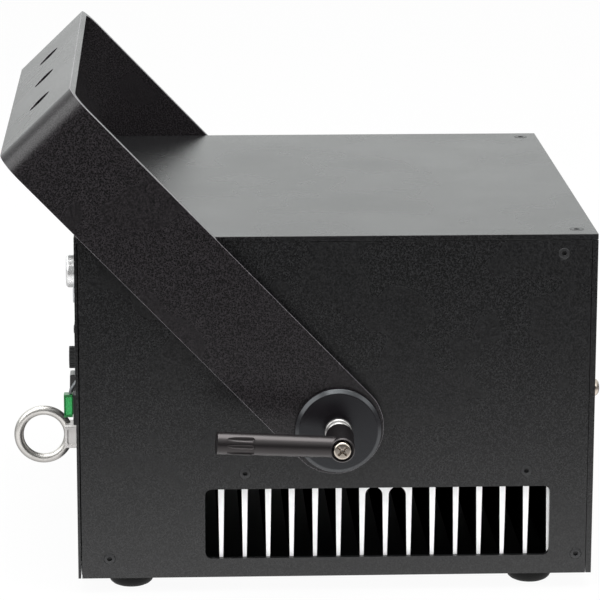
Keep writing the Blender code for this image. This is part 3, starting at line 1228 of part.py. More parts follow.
def interlock():
    """The interlock header, and the green plug with its bridge wire that closes the loop."""
    x, y, z = rear_point(INTERLOCK_AT)
    half_w, half_t = HEADER_WIDTH / 2, HEADER_TALL / 2
    face = -HEADER_PROUD
    header = block("interlock_header", (face, y - half_w, z - half_t), (-FIT_GAP, y + half_w, z + half_t),
                   "moulded_black")
    body_w, body_t = half_w - HEADER_RIM, half_t - HEADER_RIM
    join(header, block("header_body", (face / 2, y - body_w, z - body_t),
                       (HEADER_BODY_LENGTH, y + body_w, z + body_t)))
    plug_z = z + PLUG_RAISE
    nose_w, nose_t = PLUG_NOSE_WIDTH / 2, PLUG_NOSE_TALL / 2
    cut(header, block("plug_pocket",
                      (face - CUT_REACH, y - nose_w - BORE_GAP, plug_z - nose_t - BORE_GAP),
                      (face + PLUG_NOSE_LENGTH + FIT_GAP, y + nose_w + BORE_GAP, plug_z + nose_t + BORE_GAP)))
    plug = block("interlock_plug", (-PLUG_PROUD, y - PLUG_WIDTH / 2, plug_z - PLUG_TALL / 2),
                 (face - FIT_GAP, y + PLUG_WIDTH / 2, plug_z + PLUG_TALL / 2), "signal_green")
    join(plug, block("plug_nose", (face - FIT_GAP - CUT_REACH, y - nose_w, plug_z - nose_t),
                     (face + PLUG_NOSE_LENGTH, y + nose_w, plug_z + nose_t)))
    top = PLUG_TALL / 2 + FIT_GAP
    half, bend, slope = BRIDGE_SPACING / 2, BRIDGE_RISE - BRIDGE_SPACING / 2, BRIDGE_LEAN / BRIDGE_RISE
    legs = [(-half, 0.0), (-half, bend / 2)]
    legs += arc(0.0, bend, half, 180.0, 0.0, BEND_STEPS)
    legs += [(half, bend / 2), (half, 0.0)]
    loop = [(max(rise - BRIDGE_STRAIGHT, 0.0) * slope, across, rise) for across, rise in legs]
    wire("interlock_bridge", loop, BRIDGE_WIRE_RADIUS, "grey_wire", (-BRIDGE_ROOT_PROUD, y, plug_z + top))


def signal_socket():
    """The 25-way show signal socket, with its slanted shell."""
    x, y, z = rear_point(ILDA_AT)
    half_w, half_t = DSUB_FLANGE_WIDTH / 2, DSUB_FLANGE_TALL / 2
    flange_x = -FIT_GAP - DSUB_FLANGE_WALL
    socket = block("ilda_socket", (flange_x, y - half_w, z - half_t), (-FIT_GAP, y + half_w, z + half_t),
                   "zinc_steel")

    def shell(name, rim, start, end):
        w, t, slant = DSUB_SHELL_WIDTH / 2 - rim, DSUB_SHELL_TALL / 2 - rim, DSUB_SHELL_SLANT
        outline = [(-w, t), (w, t), (w - slant, -t), (slant - w, -t)]
        return extruded(name, [outline], "YZ", ((start + end) / 2, y, z), end - start)

    join(socket, shell("dsub_shell", 0.0, -DSUB_SHELL_PROUD, DSUB_BODY_LENGTH))
    cut(socket, shell("dsub_mouth", DSUB_MOUTH_RIM, -DSUB_SHELL_PROUD - CUT_REACH,
                      DSUB_MOUTH_DEPTH - DSUB_SHELL_PROUD))


def panel_socket(name, place, material):
    """The body that the round panel connectors share: a flange and a barrel behind it."""
    x, y, z = rear_point(place)
    outline = rounded(0.0, 0.0, SOCKET_FLANGE_WIDTH, SOCKET_FLANGE_TALL, SOCKET_CORNER_RADIUS)
    middle = (-FIT_GAP - SOCKET_FLANGE_WALL / 2, y, z)
    flange = extruded(name, [outline], "YZ", middle, SOCKET_FLANGE_WALL, material)
    join(flange, rod("socket_barrel", (x, y, z), "-X", SOCKET_BODY_RADIUS, -SOCKET_BODY_LENGTH,
                     FIT_GAP + SOCKET_FLANGE_WALL / 2, ROUND))
    return flange, (x, y, z), FIT_GAP + SOCKET_FLANGE_WALL + CUT_REACH


def connectors():
    """Signal, lighting-control, network and mains connectors on the rear panel."""
    signal_socket()
    socket, at, mouth = panel_socket("dmx_socket", DMX_AT, "moulded_black")
    cut(socket, rod("dmx_mouth", at, "-X", DMX_MOUTH_RADIUS, -DMX_MOUTH_DEPTH, mouth, ROUND))
    socket, at, mouth = panel_socket("network_socket", NETWORK_AT, "moulded_black")
    half_w, half_t = NETWORK_MOUTH_WIDTH / 2, NETWORK_MOUTH_TALL / 2
    cut(socket, block("network_mouth", (-mouth, at[1] - half_w, at[2] - half_t),
                      (NETWORK_MOUTH_DEPTH, at[1] + half_w, at[2] + half_t)))
    socket, at, mouth = panel_socket("power_inlet", POWER_INLET_AT, "inlet_blue")
    cut(socket, rod("inlet_mouth", at, "-X", INLET_MOUTH_RADIUS, -INLET_MOUTH_DEPTH, mouth, ROUND))


clear_scene()
PARTS = collection("laser_show_projector")
TOOLS = collection("cutters")
chassis()
for side_word, side_sign in SIDES:
    side_panel(side_word, side_sign)
    clamp(side_word, side_sign)
top_cover()
front_panel()
rear_panel()
feet()
heat_sink()
for fan_number, fan_x in enumerate(FAN_CENTRES_X, 1):
    fan(fan_number, fan_x)
yoke()
front_fittings()
lasers()
mirrors()
galvos()
electronics()
eyebolt()
key_switch()
fuse()
rocker_switch()
interlock()
connectors()
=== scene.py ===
"""The looks of a laser show projector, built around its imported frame.

Each operator in the sidebar's Projector tab finishes one piece or one group of like pieces. Blender's own
sizes are in metres. The plain numbers that the helpers below take are in millimetres, and places are
measured along the casing from its rear face, across from its middle, and up from its underside.
"""
import json
import math

import bmesh
import bpy
from mathutils import Matrix, Vector


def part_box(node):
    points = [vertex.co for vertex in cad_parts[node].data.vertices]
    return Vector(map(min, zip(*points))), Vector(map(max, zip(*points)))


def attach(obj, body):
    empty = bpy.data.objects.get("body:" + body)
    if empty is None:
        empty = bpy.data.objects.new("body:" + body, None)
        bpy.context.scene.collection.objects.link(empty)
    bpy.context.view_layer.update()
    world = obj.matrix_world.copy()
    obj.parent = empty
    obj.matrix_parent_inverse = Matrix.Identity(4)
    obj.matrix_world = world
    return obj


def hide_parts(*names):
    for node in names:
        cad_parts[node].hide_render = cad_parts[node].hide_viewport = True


bl_info = {
    "name": "Laser show projector",
    "version": (1, 0, 0),
    "blender": (4, 5, 0),
    "location": "3D View > Sidebar > Projector",
    "description": "Dresses the frame of a laser show projector in a yoke",
    "category": "Object",
}

MM = 0.001
WELD = 0.00001
FLAT_ANGLE = math.radians(0.5)
EDGE_ANGLE = math.radians(30)
STEPS = 72

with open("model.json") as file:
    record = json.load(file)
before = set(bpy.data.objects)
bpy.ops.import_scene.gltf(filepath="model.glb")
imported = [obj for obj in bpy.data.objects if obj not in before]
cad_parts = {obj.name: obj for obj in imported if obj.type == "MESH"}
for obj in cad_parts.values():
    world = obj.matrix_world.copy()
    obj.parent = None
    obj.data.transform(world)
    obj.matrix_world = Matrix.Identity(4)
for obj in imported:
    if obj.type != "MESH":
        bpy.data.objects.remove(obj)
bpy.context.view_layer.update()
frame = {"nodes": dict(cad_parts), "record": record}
NODES = frame["nodes"]
BODY_OF = {node: body for body, nodes in frame["record"]["behaviour"]["bodies"].items() for node in nodes}
SLOT_OF = {row["node"]: row["material_slot"] for row in frame["record"]["subparts"]}
SIDES = (("near", -1), ("far", 1))

# The casing's faces that places are measured from
REAR_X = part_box("rear_panel")[0].x
FRONT_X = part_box("front_panel")[1].x
NEAR_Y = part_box("side_panel_near")[0].y
UNDERSIDE_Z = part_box("chassis")[0].z
CASE_LENGTH = (FRONT_X - REAR_X) / MM
HALF_WIDTH = -NEAR_Y / MM
CASE_TALL = (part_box("top_cover")[1].z - UNDERSIDE_Z) / MM

# A noise pattern's plain detail and strength of finer features, and the band that most of its values lie in
PLAIN = (2.0, 0.5)
NOISE_BAND = (0.3, 0.7)
# Directions that pieces face
REARWARDS, FORWARDS, FARWARDS, UPWARDS = (-1.0, 0.0, 0.0), (1.0, 0.0, 0.0), (0.0, 1.0, 0.0), (0.0, 0.0, 1.0)
# Numbers of the Mix node's colour sockets, which share their names with its other ones
MIX_A, MIX_B, MIX_COLOUR = 6, 7, 2

# Filled in by main
FINISH = {}
TREES = {}


def spot(along, across, up):
    """A point of the scene from its place on the casing."""
    return Vector((REAR_X + along * MM, across * MM, UNDERSIDE_Z + up * MM))


def middle(node):
    """The middle of a CAD node's box, as its place on the casing."""
    low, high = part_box(node)
    centre = (low + high) / 2
    return (centre.x - REAR_X) / MM, centre.y / MM, (centre.z - UNDERSIDE_Z) / MM


# Materials


def srgb(code, alpha=1.0):
    """A hex colour as linear red, green, blue and alpha."""
    channels = [int(code[i:i + 2], 16) / 255 for i in (1, 3, 5)]
    linear = [c / 12.92 if c <= 0.04045 else ((c + 0.055) / 1.055) ** 2.4 for c in channels]
    return (*linear, alpha)


def add(tree, kind, inputs=None, **settings):
    """Add a node. Each of its inputs takes a value, another node's output, or a node for its first output."""
    node = tree.nodes.new(kind)
    for name, value in settings.items():
        setattr(node, name, value)
    for name, value in (inputs or {}).items():
        if isinstance(value, bpy.types.Node):
            value = value.outputs[0]
        if isinstance(value, bpy.types.NodeSocket):
            tree.links.new(value, node.inputs[name])
        else:
            node.inputs[name].default_value = value
    return node


def span(low, high, out_low, out_high):
    """The settings of a Map Range node that stretch one band of values to another."""
    return {"From Min": low, "From Max": high, "To Min": out_low, "To Max": out_high}


def mirror_rays(tree, rays):
    """One for reflected and for transmitted rays."""
    return add(tree, "ShaderNodeMath", {
        0: rays.outputs["Is Glossy Ray"], 1: rays.outputs["Is Transmission Ray"]}, operation="MAXIMUM")


def textured(name, colour, roughness, metallic=0.0, patterns=(), tone=None, gloss=None, relief=None,
             **sockets):
    """A material whose colour, gloss and relief follow random patterns on Object coordinates.

    A pattern is the size of its features in millimetres, its detail, and the strength of its finer
    features. Tone is a pattern's number, the band of it that counts, and the second colour. Gloss is a
    pattern's number and the roughness at both ends. Relief is a pattern's number and its depth in
    millimetres.
    """
    made = bpy.data.materials.new(name)
    made.use_nodes = True
    tree = made.node_tree
    shader = tree.nodes["Principled BSDF"]
    values = {"Base Color": colour, "Roughness": roughness, "Metallic": metallic,
              **{socket.replace("_", " "): value for socket, value in sockets.items()}}
    for socket, value in values.items():
        shader.inputs[socket].default_value = value
    place = add(tree, "ShaderNodeTexCoord").outputs["Object"]
    noise = [add(tree, "ShaderNodeTexNoise", {
        "Vector": place, "Scale": 1 / (size_mm * MM), "Detail": detail, "Roughness": finer})
        for size_mm, detail, finer in patterns]
    if tone:
        number, low, high, second = tone
        share = add(tree, "ShaderNodeMapRange", {"Value": noise[number], **span(low, high, 0.0, 1.0)})
        mix = add(tree, "ShaderNodeMix", {MIX_A: colour, MIX_B: second, 0: share}, data_type="RGBA")
        tree.links.new(mix.outputs[MIX_COLOUR], shader.inputs["Base Color"])
    if gloss:
        number, low, high = gloss
        rough = add(tree, "ShaderNodeMapRange", {"Value": noise[number], **span(*NOISE_BAND, low, high)})
        tree.links.new(rough.outputs["Result"], shader.inputs["Roughness"])
    if relief:
        number, depth_mm = relief
        raised = add(tree, "ShaderNodeBump", {
            "Height": noise[number], "Distance": depth_mm * MM, "Strength": 1.0})
        tree.links.new(raised.outputs["Normal"], shader.inputs["Normal"])
    return made


def shade(colour, factor):
    """The same hue, lighter or darker."""
    return (*(min(c * factor, 1.0) for c in colour[:3]), 1.0)


def powder_coat(name, colour, fleck):
    """Sheet metal under baked polyester powder with a fine texture.

    Face-on it is near black with faint specks; at a low angle it turns into an even pale sheen.
    """
    # The real texture is about 0.3 mm wide. Here its widest features are 0.9 mm, so that it shows from 1.7 m.
    return textured(name, colour, 0.27, patterns=((0.9, 4.0, 0.8), (60.0, *PLAIN)),
                    tone=(0, 0.4, 0.72, fleck), gloss=(1, 0.25, 0.29), relief=(0, 0.06))


def anodised(name, colour, roughness, **sockets):
    """Aluminium with a dyed black oxide skin: dark, satin, with a cool sheen where it faces a lamp."""
    return textured(name, colour, roughness, patterns=((0.5, *PLAIN),),
                    gloss=(0, roughness - 0.03, roughness + 0.03), relief=(0, 0.006), IOR=1.65, **sockets)


def enamel(name, colour, roughness):
    """Die-cast zinc under stoved enamel: a soft, slightly warm highlight on a near black body."""
    return textured(name, colour, roughness, patterns=((0.8, *PLAIN),),
                    tone=(0, 0.4, 0.75, shade(colour, 1.5)), relief=(0, 0.012), IOR=1.55,
                    Specular_Tint=srgb("#fff6f6"))


def bare_metal(name, colour, roughness, grain_mm=0.4, metallic=1.0, relief_mm=0.004):
    """Bare or plated metal as it was worked: soft changes of gloss over a fine grain."""
    return textured(name, colour, roughness, metallic, ((grain_mm, *PLAIN), (9.0, *PLAIN)),
                    (1, 0.35, 0.7, shade(colour, 0.86)), (0, max(roughness - 0.05, 0.02), roughness + 0.05),
                    (0, relief_mm))


def moulded(name, colour, roughness, grain_mm=0.5, **sockets):
    """Moulded plastic or rubber: one colour with the mould's spark texture."""
    return textured(name, colour, roughness, patterns=((grain_mm, *PLAIN),),
                    tone=(0, 0.45, 0.7, shade(colour, 1.3)), relief=(0, 0.012), **sockets)


def coated_glass(name, colour):
    """Float glass with an anti-reflex coating: clear, with a thin cool reflection."""
    return textured(name, colour, 0.02, patterns=((20.0, *PLAIN),), gloss=(0, 0.01, 0.03),
                    Transmission_Weight=1.0, IOR=1.52)


def make_materials():
    """Every finish: by the record's slot name, and below them the ones of small added pieces."""
    hues = bpy.context.scene.projector_colours
    coat, yoke_coat, black = tuple(hues.casing), tuple(hues.yoke), srgb("#161617")
    return {
        "panel_black": powder_coat("powder coated sheet, casing", coat, srgb("#2d2d2e")),
        "mask_black": powder_coat("powder coated sheet, mask", coat, srgb("#2d2d2e")),
        "yoke_black": powder_coat("powder coated strap, yoke", yoke_coat, srgb("#332f32")),
        # Pale colour for the yoke's rolled edges: a painted highlight along them
        "yoke_edge": powder_coat("powder coat drawn thin, yoke edges", srgb("#77737a"), srgb("#9a9698")),
        "floor_metal": anodised("black anodised sheet, floor", srgb("#0c0c0c"), 0.6, Specular_IOR_Level=0.1),
        "fin_metal": anodised("anodised extrusion, fins", srgb("#0c0c0c"), 0.7, Specular_IOR_Level=0.0),
        "foot_rubber": moulded("moulded rubber, feet", srgb("#0b0b0b"), 0.75, Specular_IOR_Level=0.25),
        "fan_black": moulded("glass-filled nylon, fans", black, 0.5),
        "bush_steel": bare_metal("zinc plated steel, bushes", srgb("#b0b2b5"), 0.3),
        "disc_black": anodised("anodised aluminium, discs", srgb("#100c10"), 0.24,
                               Specular_Tint=srgb("#ebf1f5")),
        "stud_chrome": bare_metal("satin chromed steel, studs", srgb("#a8a6a5"), 0.3),
        "lever_black": enamel("enamelled zinc, levers", srgb("#131112"), 0.32),
        "screw_steel": bare_metal("stainless steel, screws", tuple(hues.steel), 0.22),
        "window_glass": coated_glass("coated window glass", srgb("#e8f0f4")),
        "laser_black": anodised("anodised aluminium, modules", srgb("#1a1a1c"), 0.35),
        "optic_silver": bare_metal("silvered glass, mirrors", srgb("#eef0f2"), 0.04),
        "block_metal": bare_metal("machined aluminium, scanner block", srgb("#cfd0d2"), 0.3),
        "supply_metal": bare_metal("zinc plated sheet, supply", srgb("#b6b8ba"), 0.35),
        "board_green": moulded("solder masked laminate, boards", tuple(hues.board), 0.35, 0.8),
        "eye_steel": bare_metal("polished stainless steel, safety eye", srgb("#dcd9d5"), 0.36, 1.2,
                                relief_mm=0.0005),
        "eye_cast": bare_metal("cast stainless steel, safety eye block", srgb("#efecea"), 0.5, metallic=0.85),
        # Satin chrome, with a white non-metallic share that paints in a bright reflection
        "key_chrome": bare_metal("satin chromed brass, key barrel", srgb("#fdfdfd"), 0.28, metallic=0.65,
                                 relief_mm=0.0005),
        "plug_steel": bare_metal("nickel plated brass, key plug", srgb("#c4c2bc"), 0.22),
        "fitting_black": moulded("moulded nylon, fittings", black, 0.4),
        "rocker_black": moulded("gloss ABS, rocker", srgb("#131314"), 0.18, 0.8),
        "plug_green": moulded("translucent polyamide, plug", tuple(hues.interlock), 0.16, 0.8,
                              Transmission_Weight=0.2),
        # Lighter copy of the plug's green for its window faces: painted light shining through the plastic
        "plug_window": moulded("translucent polyamide, thin walls", srgb("#36c868"), 0.2, 0.8,
                               Transmission_Weight=0.2),
        "bridge_grey": bare_metal("tinned copper wire, bridge", srgb("#8e9194"), 0.35),
        "shell_tin": bare_metal("tin plated steel, socket shell", srgb("#c3c5c8"), 0.28),
        "inlet_blue": moulded("moulded polyamide, inlet", tuple(hues.inlet), 0.4),
        "cap_screw": bare_metal("black oxide steel, panel screws", srgb("#39393a"), 0.38, metallic=0.5),
        "sawn_end": bare_metal("sawn aluminium, fin ends", srgb("#ffffff"), 0.5, 0.9, 0.0),
        "contact_gold": bare_metal("gold plated contacts", srgb("#d9b45f"), 0.2),
        "sleeve_blue": moulded("vinyl sleeve, capacitors", srgb("#1d2a44"), 0.35),
        "header_white": moulded("nylon headers", srgb("#d8d5c8"), 0.45),
    }


# Geometry Nodes trees


def new_tree(name, sockets):
    """A geometry tree with its named inputs, and the outputs that they give."""
    tree = bpy.data.node_groups.new(name, "GeometryNodeTree")
    tree.interface.new_socket("Geometry", in_out="OUTPUT", socket_type="NodeSocketGeometry")
    tree.interface.new_socket("Geometry", in_out="INPUT", socket_type="NodeSocketGeometry")
    for label, kind in sockets.items():
        tree.interface.new_socket(label, in_out="INPUT", socket_type=f"NodeSocket{kind}")
    return tree, add(tree, "NodeGroupInput").outputs


def close_tree(tree, geometry, finish):
    """End a tree: real geometry, with its material."""
    real = add(tree, "GeometryNodeRealizeInstances", {"Geometry": geometry})
    dressed = add(tree, "GeometryNodeSetMaterial", {"Geometry": real, "Material": finish})
    add(tree, "NodeGroupOutput", {"Geometry": dressed})
    return tree


def spread_tree():
    """A copy of one object on every point of a seed mesh, facing one way, each turned by chance."""
    tree, given = new_tree("Spread", {
        "Piece": "Object", "Facing": "Vector", "Turn": "Float", "Seed": "Int", "Finish": "Material"})
    piece = add(tree, "GeometryNodeObjectInfo", {"Object": given["Piece"], "As Instance": True})
    facing = add(tree, "FunctionNodeAlignRotationToVector", {"Vector": given["Facing"]}, axis="Z")
    # The Random Value node's numbers for a float are its third and fourth inputs and its second output
    chance = add(tree, "FunctionNodeRandomValue", {2: 0.0, 3: given["Turn"], "Seed": given["Seed"]},
                 data_type="FLOAT")
    turn = add(tree, "FunctionNodeAxisAngleToRotation", {"Axis": UPWARDS, "Angle": chance.outputs[1]})
    turned = add(tree, "FunctionNodeRotateRotation", {"Rotation": facing, "Rotate By": turn},
                 rotation_space="LOCAL")
    copies = add(tree, "GeometryNodeInstanceOnPoints", {
        "Points": given["Geometry"], "Instance": piece.outputs["Geometry"], "Rotation": turned})
    return close_tree(tree, copies, given["Finish"])


def ring_tree():
    """Copies of one object at even angles about the vertical line through each point of a seed mesh."""
    tree, given = new_tree("Ring", {"Piece": "Object", "Count": "Int", "Finish": "Material"})
    piece = add(tree, "GeometryNodeObjectInfo", {"Object": given["Piece"], "As Instance": True})
    points = add(tree, "GeometryNodePoints", {"Count": given["Count"]})
    share = add(tree, "ShaderNodeMath", {0: math.tau, 1: given["Count"]}, operation="DIVIDE")
    angle = add(tree, "ShaderNodeMath", {0: add(tree, "GeometryNodeInputIndex"), 1: share},
                operation="MULTIPLY")
    turn = add(tree, "FunctionNodeAxisAngleToRotation", {"Axis": UPWARDS, "Angle": angle})
    copies = add(tree, "GeometryNodeInstanceOnPoints", {
        "Points": points, "Instance": piece.outputs["Geometry"], "Rotation": turn})
    return close_tree(tree, copies, given["Finish"])


def tube_tree():
    """A round tube along the edges of a seed mesh."""
    tree, given = new_tree("Tube", {"Radius": "Float", "Sides": "Int", "Finish": "Material"})
    path = add(tree, "GeometryNodeMeshToCurve", {"Mesh": given["Geometry"]})
    section = add(tree, "GeometryNodeCurvePrimitiveCircle", {
        "Resolution": given["Sides"], "Radius": given["Radius"]})
    tube = add(tree, "GeometryNodeCurveToMesh", {"Curve": path, "Profile Curve": section, "Fill Caps": True})
    return close_tree(tree, tube, given["Finish"])


def run_tree(word, name, points, values, edges=()):
    """Run a tree on a seed mesh of points and edges, and keep its result as a plain mesh."""
    seed = bpy.data.meshes.new(f"{name}_seed")
    seed.from_pydata([tuple(point) for point in points], edges, [])
    made = new_object(name, seed)
    modifier = made.modifiers.new(word, "NODES")
    modifier.node_group = TREES[word]
    for item in TREES[word].interface.items_tree:
        if item.in_out == "INPUT" and item.name in values:
            modifier[item.identifier] = values[item.name]
    apply_modifiers(made)
    return made


def spread(name, piece, points, facing, slot, turn=0.0, seed=7):
    """Set copies of a piece on points of the casing, and drop the piece that they were copied from."""
    made = run_tree("Spread", name, points, {
        "Piece": piece, "Facing": facing, "Turn": turn, "Seed": seed, "Finish": FINISH[slot]})
    bpy.data.objects.remove(piece)
    return settle(made, slot=slot, body="casing")


def ring(name, piece, count, matrix, slot):
    """Set copies of a piece round an axis, and drop the piece that they were copied from."""
    made = run_tree("Ring", name, [(0.0, 0.0, 0.0)], {"Piece": piece, "Count": count, "Finish": FINISH[slot]})
    made.data.transform(matrix)
    bpy.data.objects.remove(piece)
    return made


# Making pieces


def new_object(name, data):
    """An object in the scene with this mesh, camera or lamp, at the origin."""
    made = bpy.data.objects.new(name, data)
    bpy.context.scene.collection.objects.link(made)
    return made


def to_object(name, shape):
    """An object from a finished shape, as it is."""
    mesh = bpy.data.meshes.new(name)
    shape.to_mesh(mesh)
    shape.free()
    return new_object(name, mesh)


def from_shape(name, shape):
    """An object from a finished shape, with its faces turned outwards."""
    bmesh.ops.recalc_face_normals(shape, faces=shape.faces)
    return to_object(name, shape)


def stand(at, axis):
    """The matrix that takes the origin to a point, and +Z to an axis."""
    turn = Vector(UPWARDS).rotation_difference(Vector(axis))
    return Matrix.Translation(at) @ turn.to_matrix().to_4x4()


def lathe(name, profile, matrix=None, steps=STEPS, closed=False):
    """A piece turned about +Z from pairs of radius and height. A closed profile makes a ring."""
    shape = bmesh.new()
    points = [shape.verts.new((radius * MM, 0.0, height * MM)) for radius, height in profile]
    pairs = list(zip(points, points[1:])) + ([(points[-1], points[0])] if closed else [])
    edges = [shape.edges.new(pair) for pair in pairs]
    bmesh.ops.spin(shape, geom=points + edges, cent=(0.0, 0.0, 0.0), axis=UPWARDS, angle=math.tau,
                   steps=steps, use_merge=True, use_duplicate=False)
    bmesh.ops.remove_doubles(shape, verts=shape.verts, dist=WELD)
    bmesh.ops.transform(shape, matrix=matrix or Matrix(), verts=shape.verts)
    return from_shape(name, shape)


def prism(name, outline, plane, low, high):
    """An outline drawn out between two distances. The plane names the outline's two directions."""
    shape = bmesh.new()
    ends = []
    for level in (low, high):
        places = [{"XZ": (a, level, b), "YZ": (level, a, b), "XY": (a, b, level)}[plane] for a, b in outline]
        ends.append([shape.verts.new(spot(*place)) for place in places])
        shape.faces.new(ends[-1])
    for i in range(len(outline)):
        shape.faces.new((ends[0][i - 1], ends[0][i], ends[1][i], ends[1][i - 1]))
    return from_shape(name, shape)


def slab(name, low, high):
    """A block between two corners."""
    outline = [(low[0], low[1]), (high[0], low[1]), (high[0], high[1]), (low[0], high[1])]
    return prism(name, outline, "XY", low[2], high[2])


def arc(centre, radius, start, end, steps):
    """Points of an arc, between two angles in degrees."""
    turns = [math.radians(start + (end - start) * i / steps) for i in range(steps + 1)]
    return [(centre[0] + radius * math.cos(turn), centre[1] + radius * math.sin(turn)) for turn in turns]


def row(first, pitch, count):
    """Distances at an even pitch."""
    return [first + pitch * i for i in range(count)]


def rounded(centre, width, tall, radius, steps=6):
    """A rectangle with round corners."""
    a, b = width / 2 - radius, tall / 2 - radius
    corners = ((a, b, 0), (-a, b, 90), (-a, -b, 180), (a, -b, 270))
    return [point for x, z, start in corners
            for point in arc((centre[0] + x, centre[1] + z), radius, start, start + 90, steps)]


def copy_of(node):
    """A CAD node's shape with its triangles welded and its flat faces joined, ready to finish."""
    mesh = NODES[node].data.copy()
    mesh.name = f"{node}_finished"
    mesh.materials.clear()
    shape = bmesh.new()
    shape.from_mesh(mesh)
    bmesh.ops.remove_doubles(shape, verts=shape.verts, dist=WELD)
    bmesh.ops.dissolve_limit(shape, angle_limit=FLAT_ANGLE, verts=shape.verts, edges=shape.edges)
    shape.to_mesh(mesh)
    shape.free()
    return new_object(mesh.name, mesh)


def apply_modifiers(piece):
    """Turn a piece and its modifiers into a plain mesh."""
    bpy.context.view_layer.update()
    graph = bpy.context.evaluated_depsgraph_get()
    mesh = bpy.data.meshes.new_from_object(piece.evaluated_get(graph))
    piece.modifiers.clear()
    piece.data = mesh
    return piece


def shape_with(piece, operation, tools):
    """Cut or join a piece with helper shapes, which are then dropped."""
    for tool in tools:
        boolean = piece.modifiers.new(operation.title(), "BOOLEAN")
        boolean.operation = operation
        boolean.solver = "EXACT"
        boolean.object = tool
    apply_modifiers(piece)
    for tool in tools:
        bpy.data.objects.remove(tool)
    return piece


def recess(piece, tools, width, segments=2):
    """Sink helper shapes into a piece, and roll over its edges."""
    return soften(shape_with(piece, "DIFFERENCE", tools), width, segments)


def paint(piece, *finishes):
    """Give a piece several finishes, for its faces to choose from."""
    for word in finishes:
        piece.data.materials.append(FINISH[word])


def smooth(piece):
    """Shade a piece smooth where it is round, and leave its edges sharp."""
    piece.data.shade_smooth()
    piece.data.set_sharp_from_angle(angle=EDGE_ANGLE)


def soften(piece, width, segments=2, finishes=()):
    """Smooth its rounds and roll over its sharp edges, which take the second finish if there are two."""
    paint(piece, *finishes)
    smooth(piece)
    edge = piece.modifiers.new("Rolled edge", "BEVEL")
    edge.width = width * MM
    edge.segments = segments
    edge.limit_method = "ANGLE"
    edge.angle_limit = EDGE_ANGLE
    edge.use_clamp_overlap = True
    edge.material = len(finishes) - 1
    flats = piece.modifiers.new("Flat faces stay flat", "WEIGHTED_NORMAL")
    flats.keep_sharp = True
    return apply_modifiers(piece)


def settle(piece, node=None, slot=None, body=None):
    """Give a piece its finish, and let it ride with a body and stand for its CAD node, if it has one."""
    slot = slot or SLOT_OF[node]
    if len(piece.data.materials) < 2:
        piece.data.materials.clear()
        piece.data.materials.append(FINISH[slot])
    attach(piece, body or BODY_OF[node])
    if node:
        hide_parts(node)
    return piece


def dress(node, width, segments=2):
    """A finished copy of a CAD node: smooth where it is round, with rolled edges."""
    return settle(soften(copy_of(node), width, segments), node)


def join(name, pieces):
    """Put several finished meshes into one object."""
    shape = bmesh.new()
    for piece in pieces:
        shape.from_mesh(piece.data)
        bpy.data.objects.remove(piece)
    return to_object(name, shape)


# What a user would change


class ProjectorSizes(bpy.types.PropertyGroup):
    """Sizes of the finishing details"""

    panel_edge: bpy.props.FloatProperty(
        name="Panel edge", description="Roll of the sheet panels' edges", default=0.55 * MM, unit="LENGTH")
    yoke_edge: bpy.props.FloatProperty(
        name="Yoke edge", description="Roll of the yoke's edges", default=0.6 * MM, unit="LENGTH")
    small_edge: bpy.props.FloatProperty(
        name="Small edge", description="Roll of the small fittings' edges", default=0.25 * MM, unit="LENGTH")


class ProjectorColours(bpy.types.PropertyGroup):
    """Colours of the finishes"""

    casing: bpy.props.FloatVectorProperty(
        name="Casing", description="Powder coat of the panels", subtype="COLOR", size=4,
        default=srgb("#030304"))
    yoke: bpy.props.FloatVectorProperty(
        name="Yoke", description="Powder coat of the yoke", subtype="COLOR", size=4, default=srgb("#060506"))
    steel: bpy.props.FloatVectorProperty(
        name="Stainless steel", description="Screws", subtype="COLOR", size=4, default=srgb("#bfb5aa"))
    interlock: bpy.props.FloatVectorProperty(
        name="Interlock plug", description="Translucent green plug", subtype="COLOR", size=4,
        default=srgb("#12803a"))
    board: bpy.props.FloatVectorProperty(
        name="Boards", description="Solder mask", subtype="COLOR", size=4, default=srgb("#1d5a34"))
    inlet: bpy.props.FloatVectorProperty(
        name="Mains inlet", description="Moulded inlet", subtype="COLOR", size=4, default=srgb("#2c5f9e"))


class ProjectorStage(bpy.types.PropertyGroup):
    """Camera, floor and lamps"""

    eye_along: bpy.props.FloatProperty(
        name="Camera along", description="In front of the casing's rear face", default=46.725 * MM,
        unit="LENGTH")
    eye_out: bpy.props.FloatProperty(
        name="Camera distance", description="Out from the casing's near side", default=1666.08 * MM,
        unit="LENGTH")
    eye_up: bpy.props.FloatProperty(
        name="Camera height", description="Above the casing's underside", default=550.096 * MM, unit="LENGTH")
    turn: bpy.props.FloatProperty(
        name="Camera turn", description="Towards the front panel", default=math.radians(2.53887),
        subtype="ANGLE")
    dip: bpy.props.FloatProperty(
        name="Camera dip", description="Below the horizon", default=math.radians(13.32695), subtype="ANGLE")
    roll: bpy.props.FloatProperty(
        name="Camera roll", description="About the line of sight", default=math.radians(-0.09478),
        subtype="ANGLE")
    lens: bpy.props.FloatProperty(name="Lens", description="Focal length in millimetres", default=192.04)
    room_light: bpy.props.FloatProperty(
        name="Room light", description="Strength of the even light from all round", default=0.7)
    top_power: bpy.props.FloatProperty(
        name="Top softbox", description="Power in watts", default=27.0)
    left_power: bpy.props.FloatProperty(
        name="Left softbox", description="Power in watts", default=8.0)
    right_power: bpy.props.FloatProperty(
        name="Right softbox", description="Power in watts", default=3.0)


# Operators: one for each piece or group of like pieces


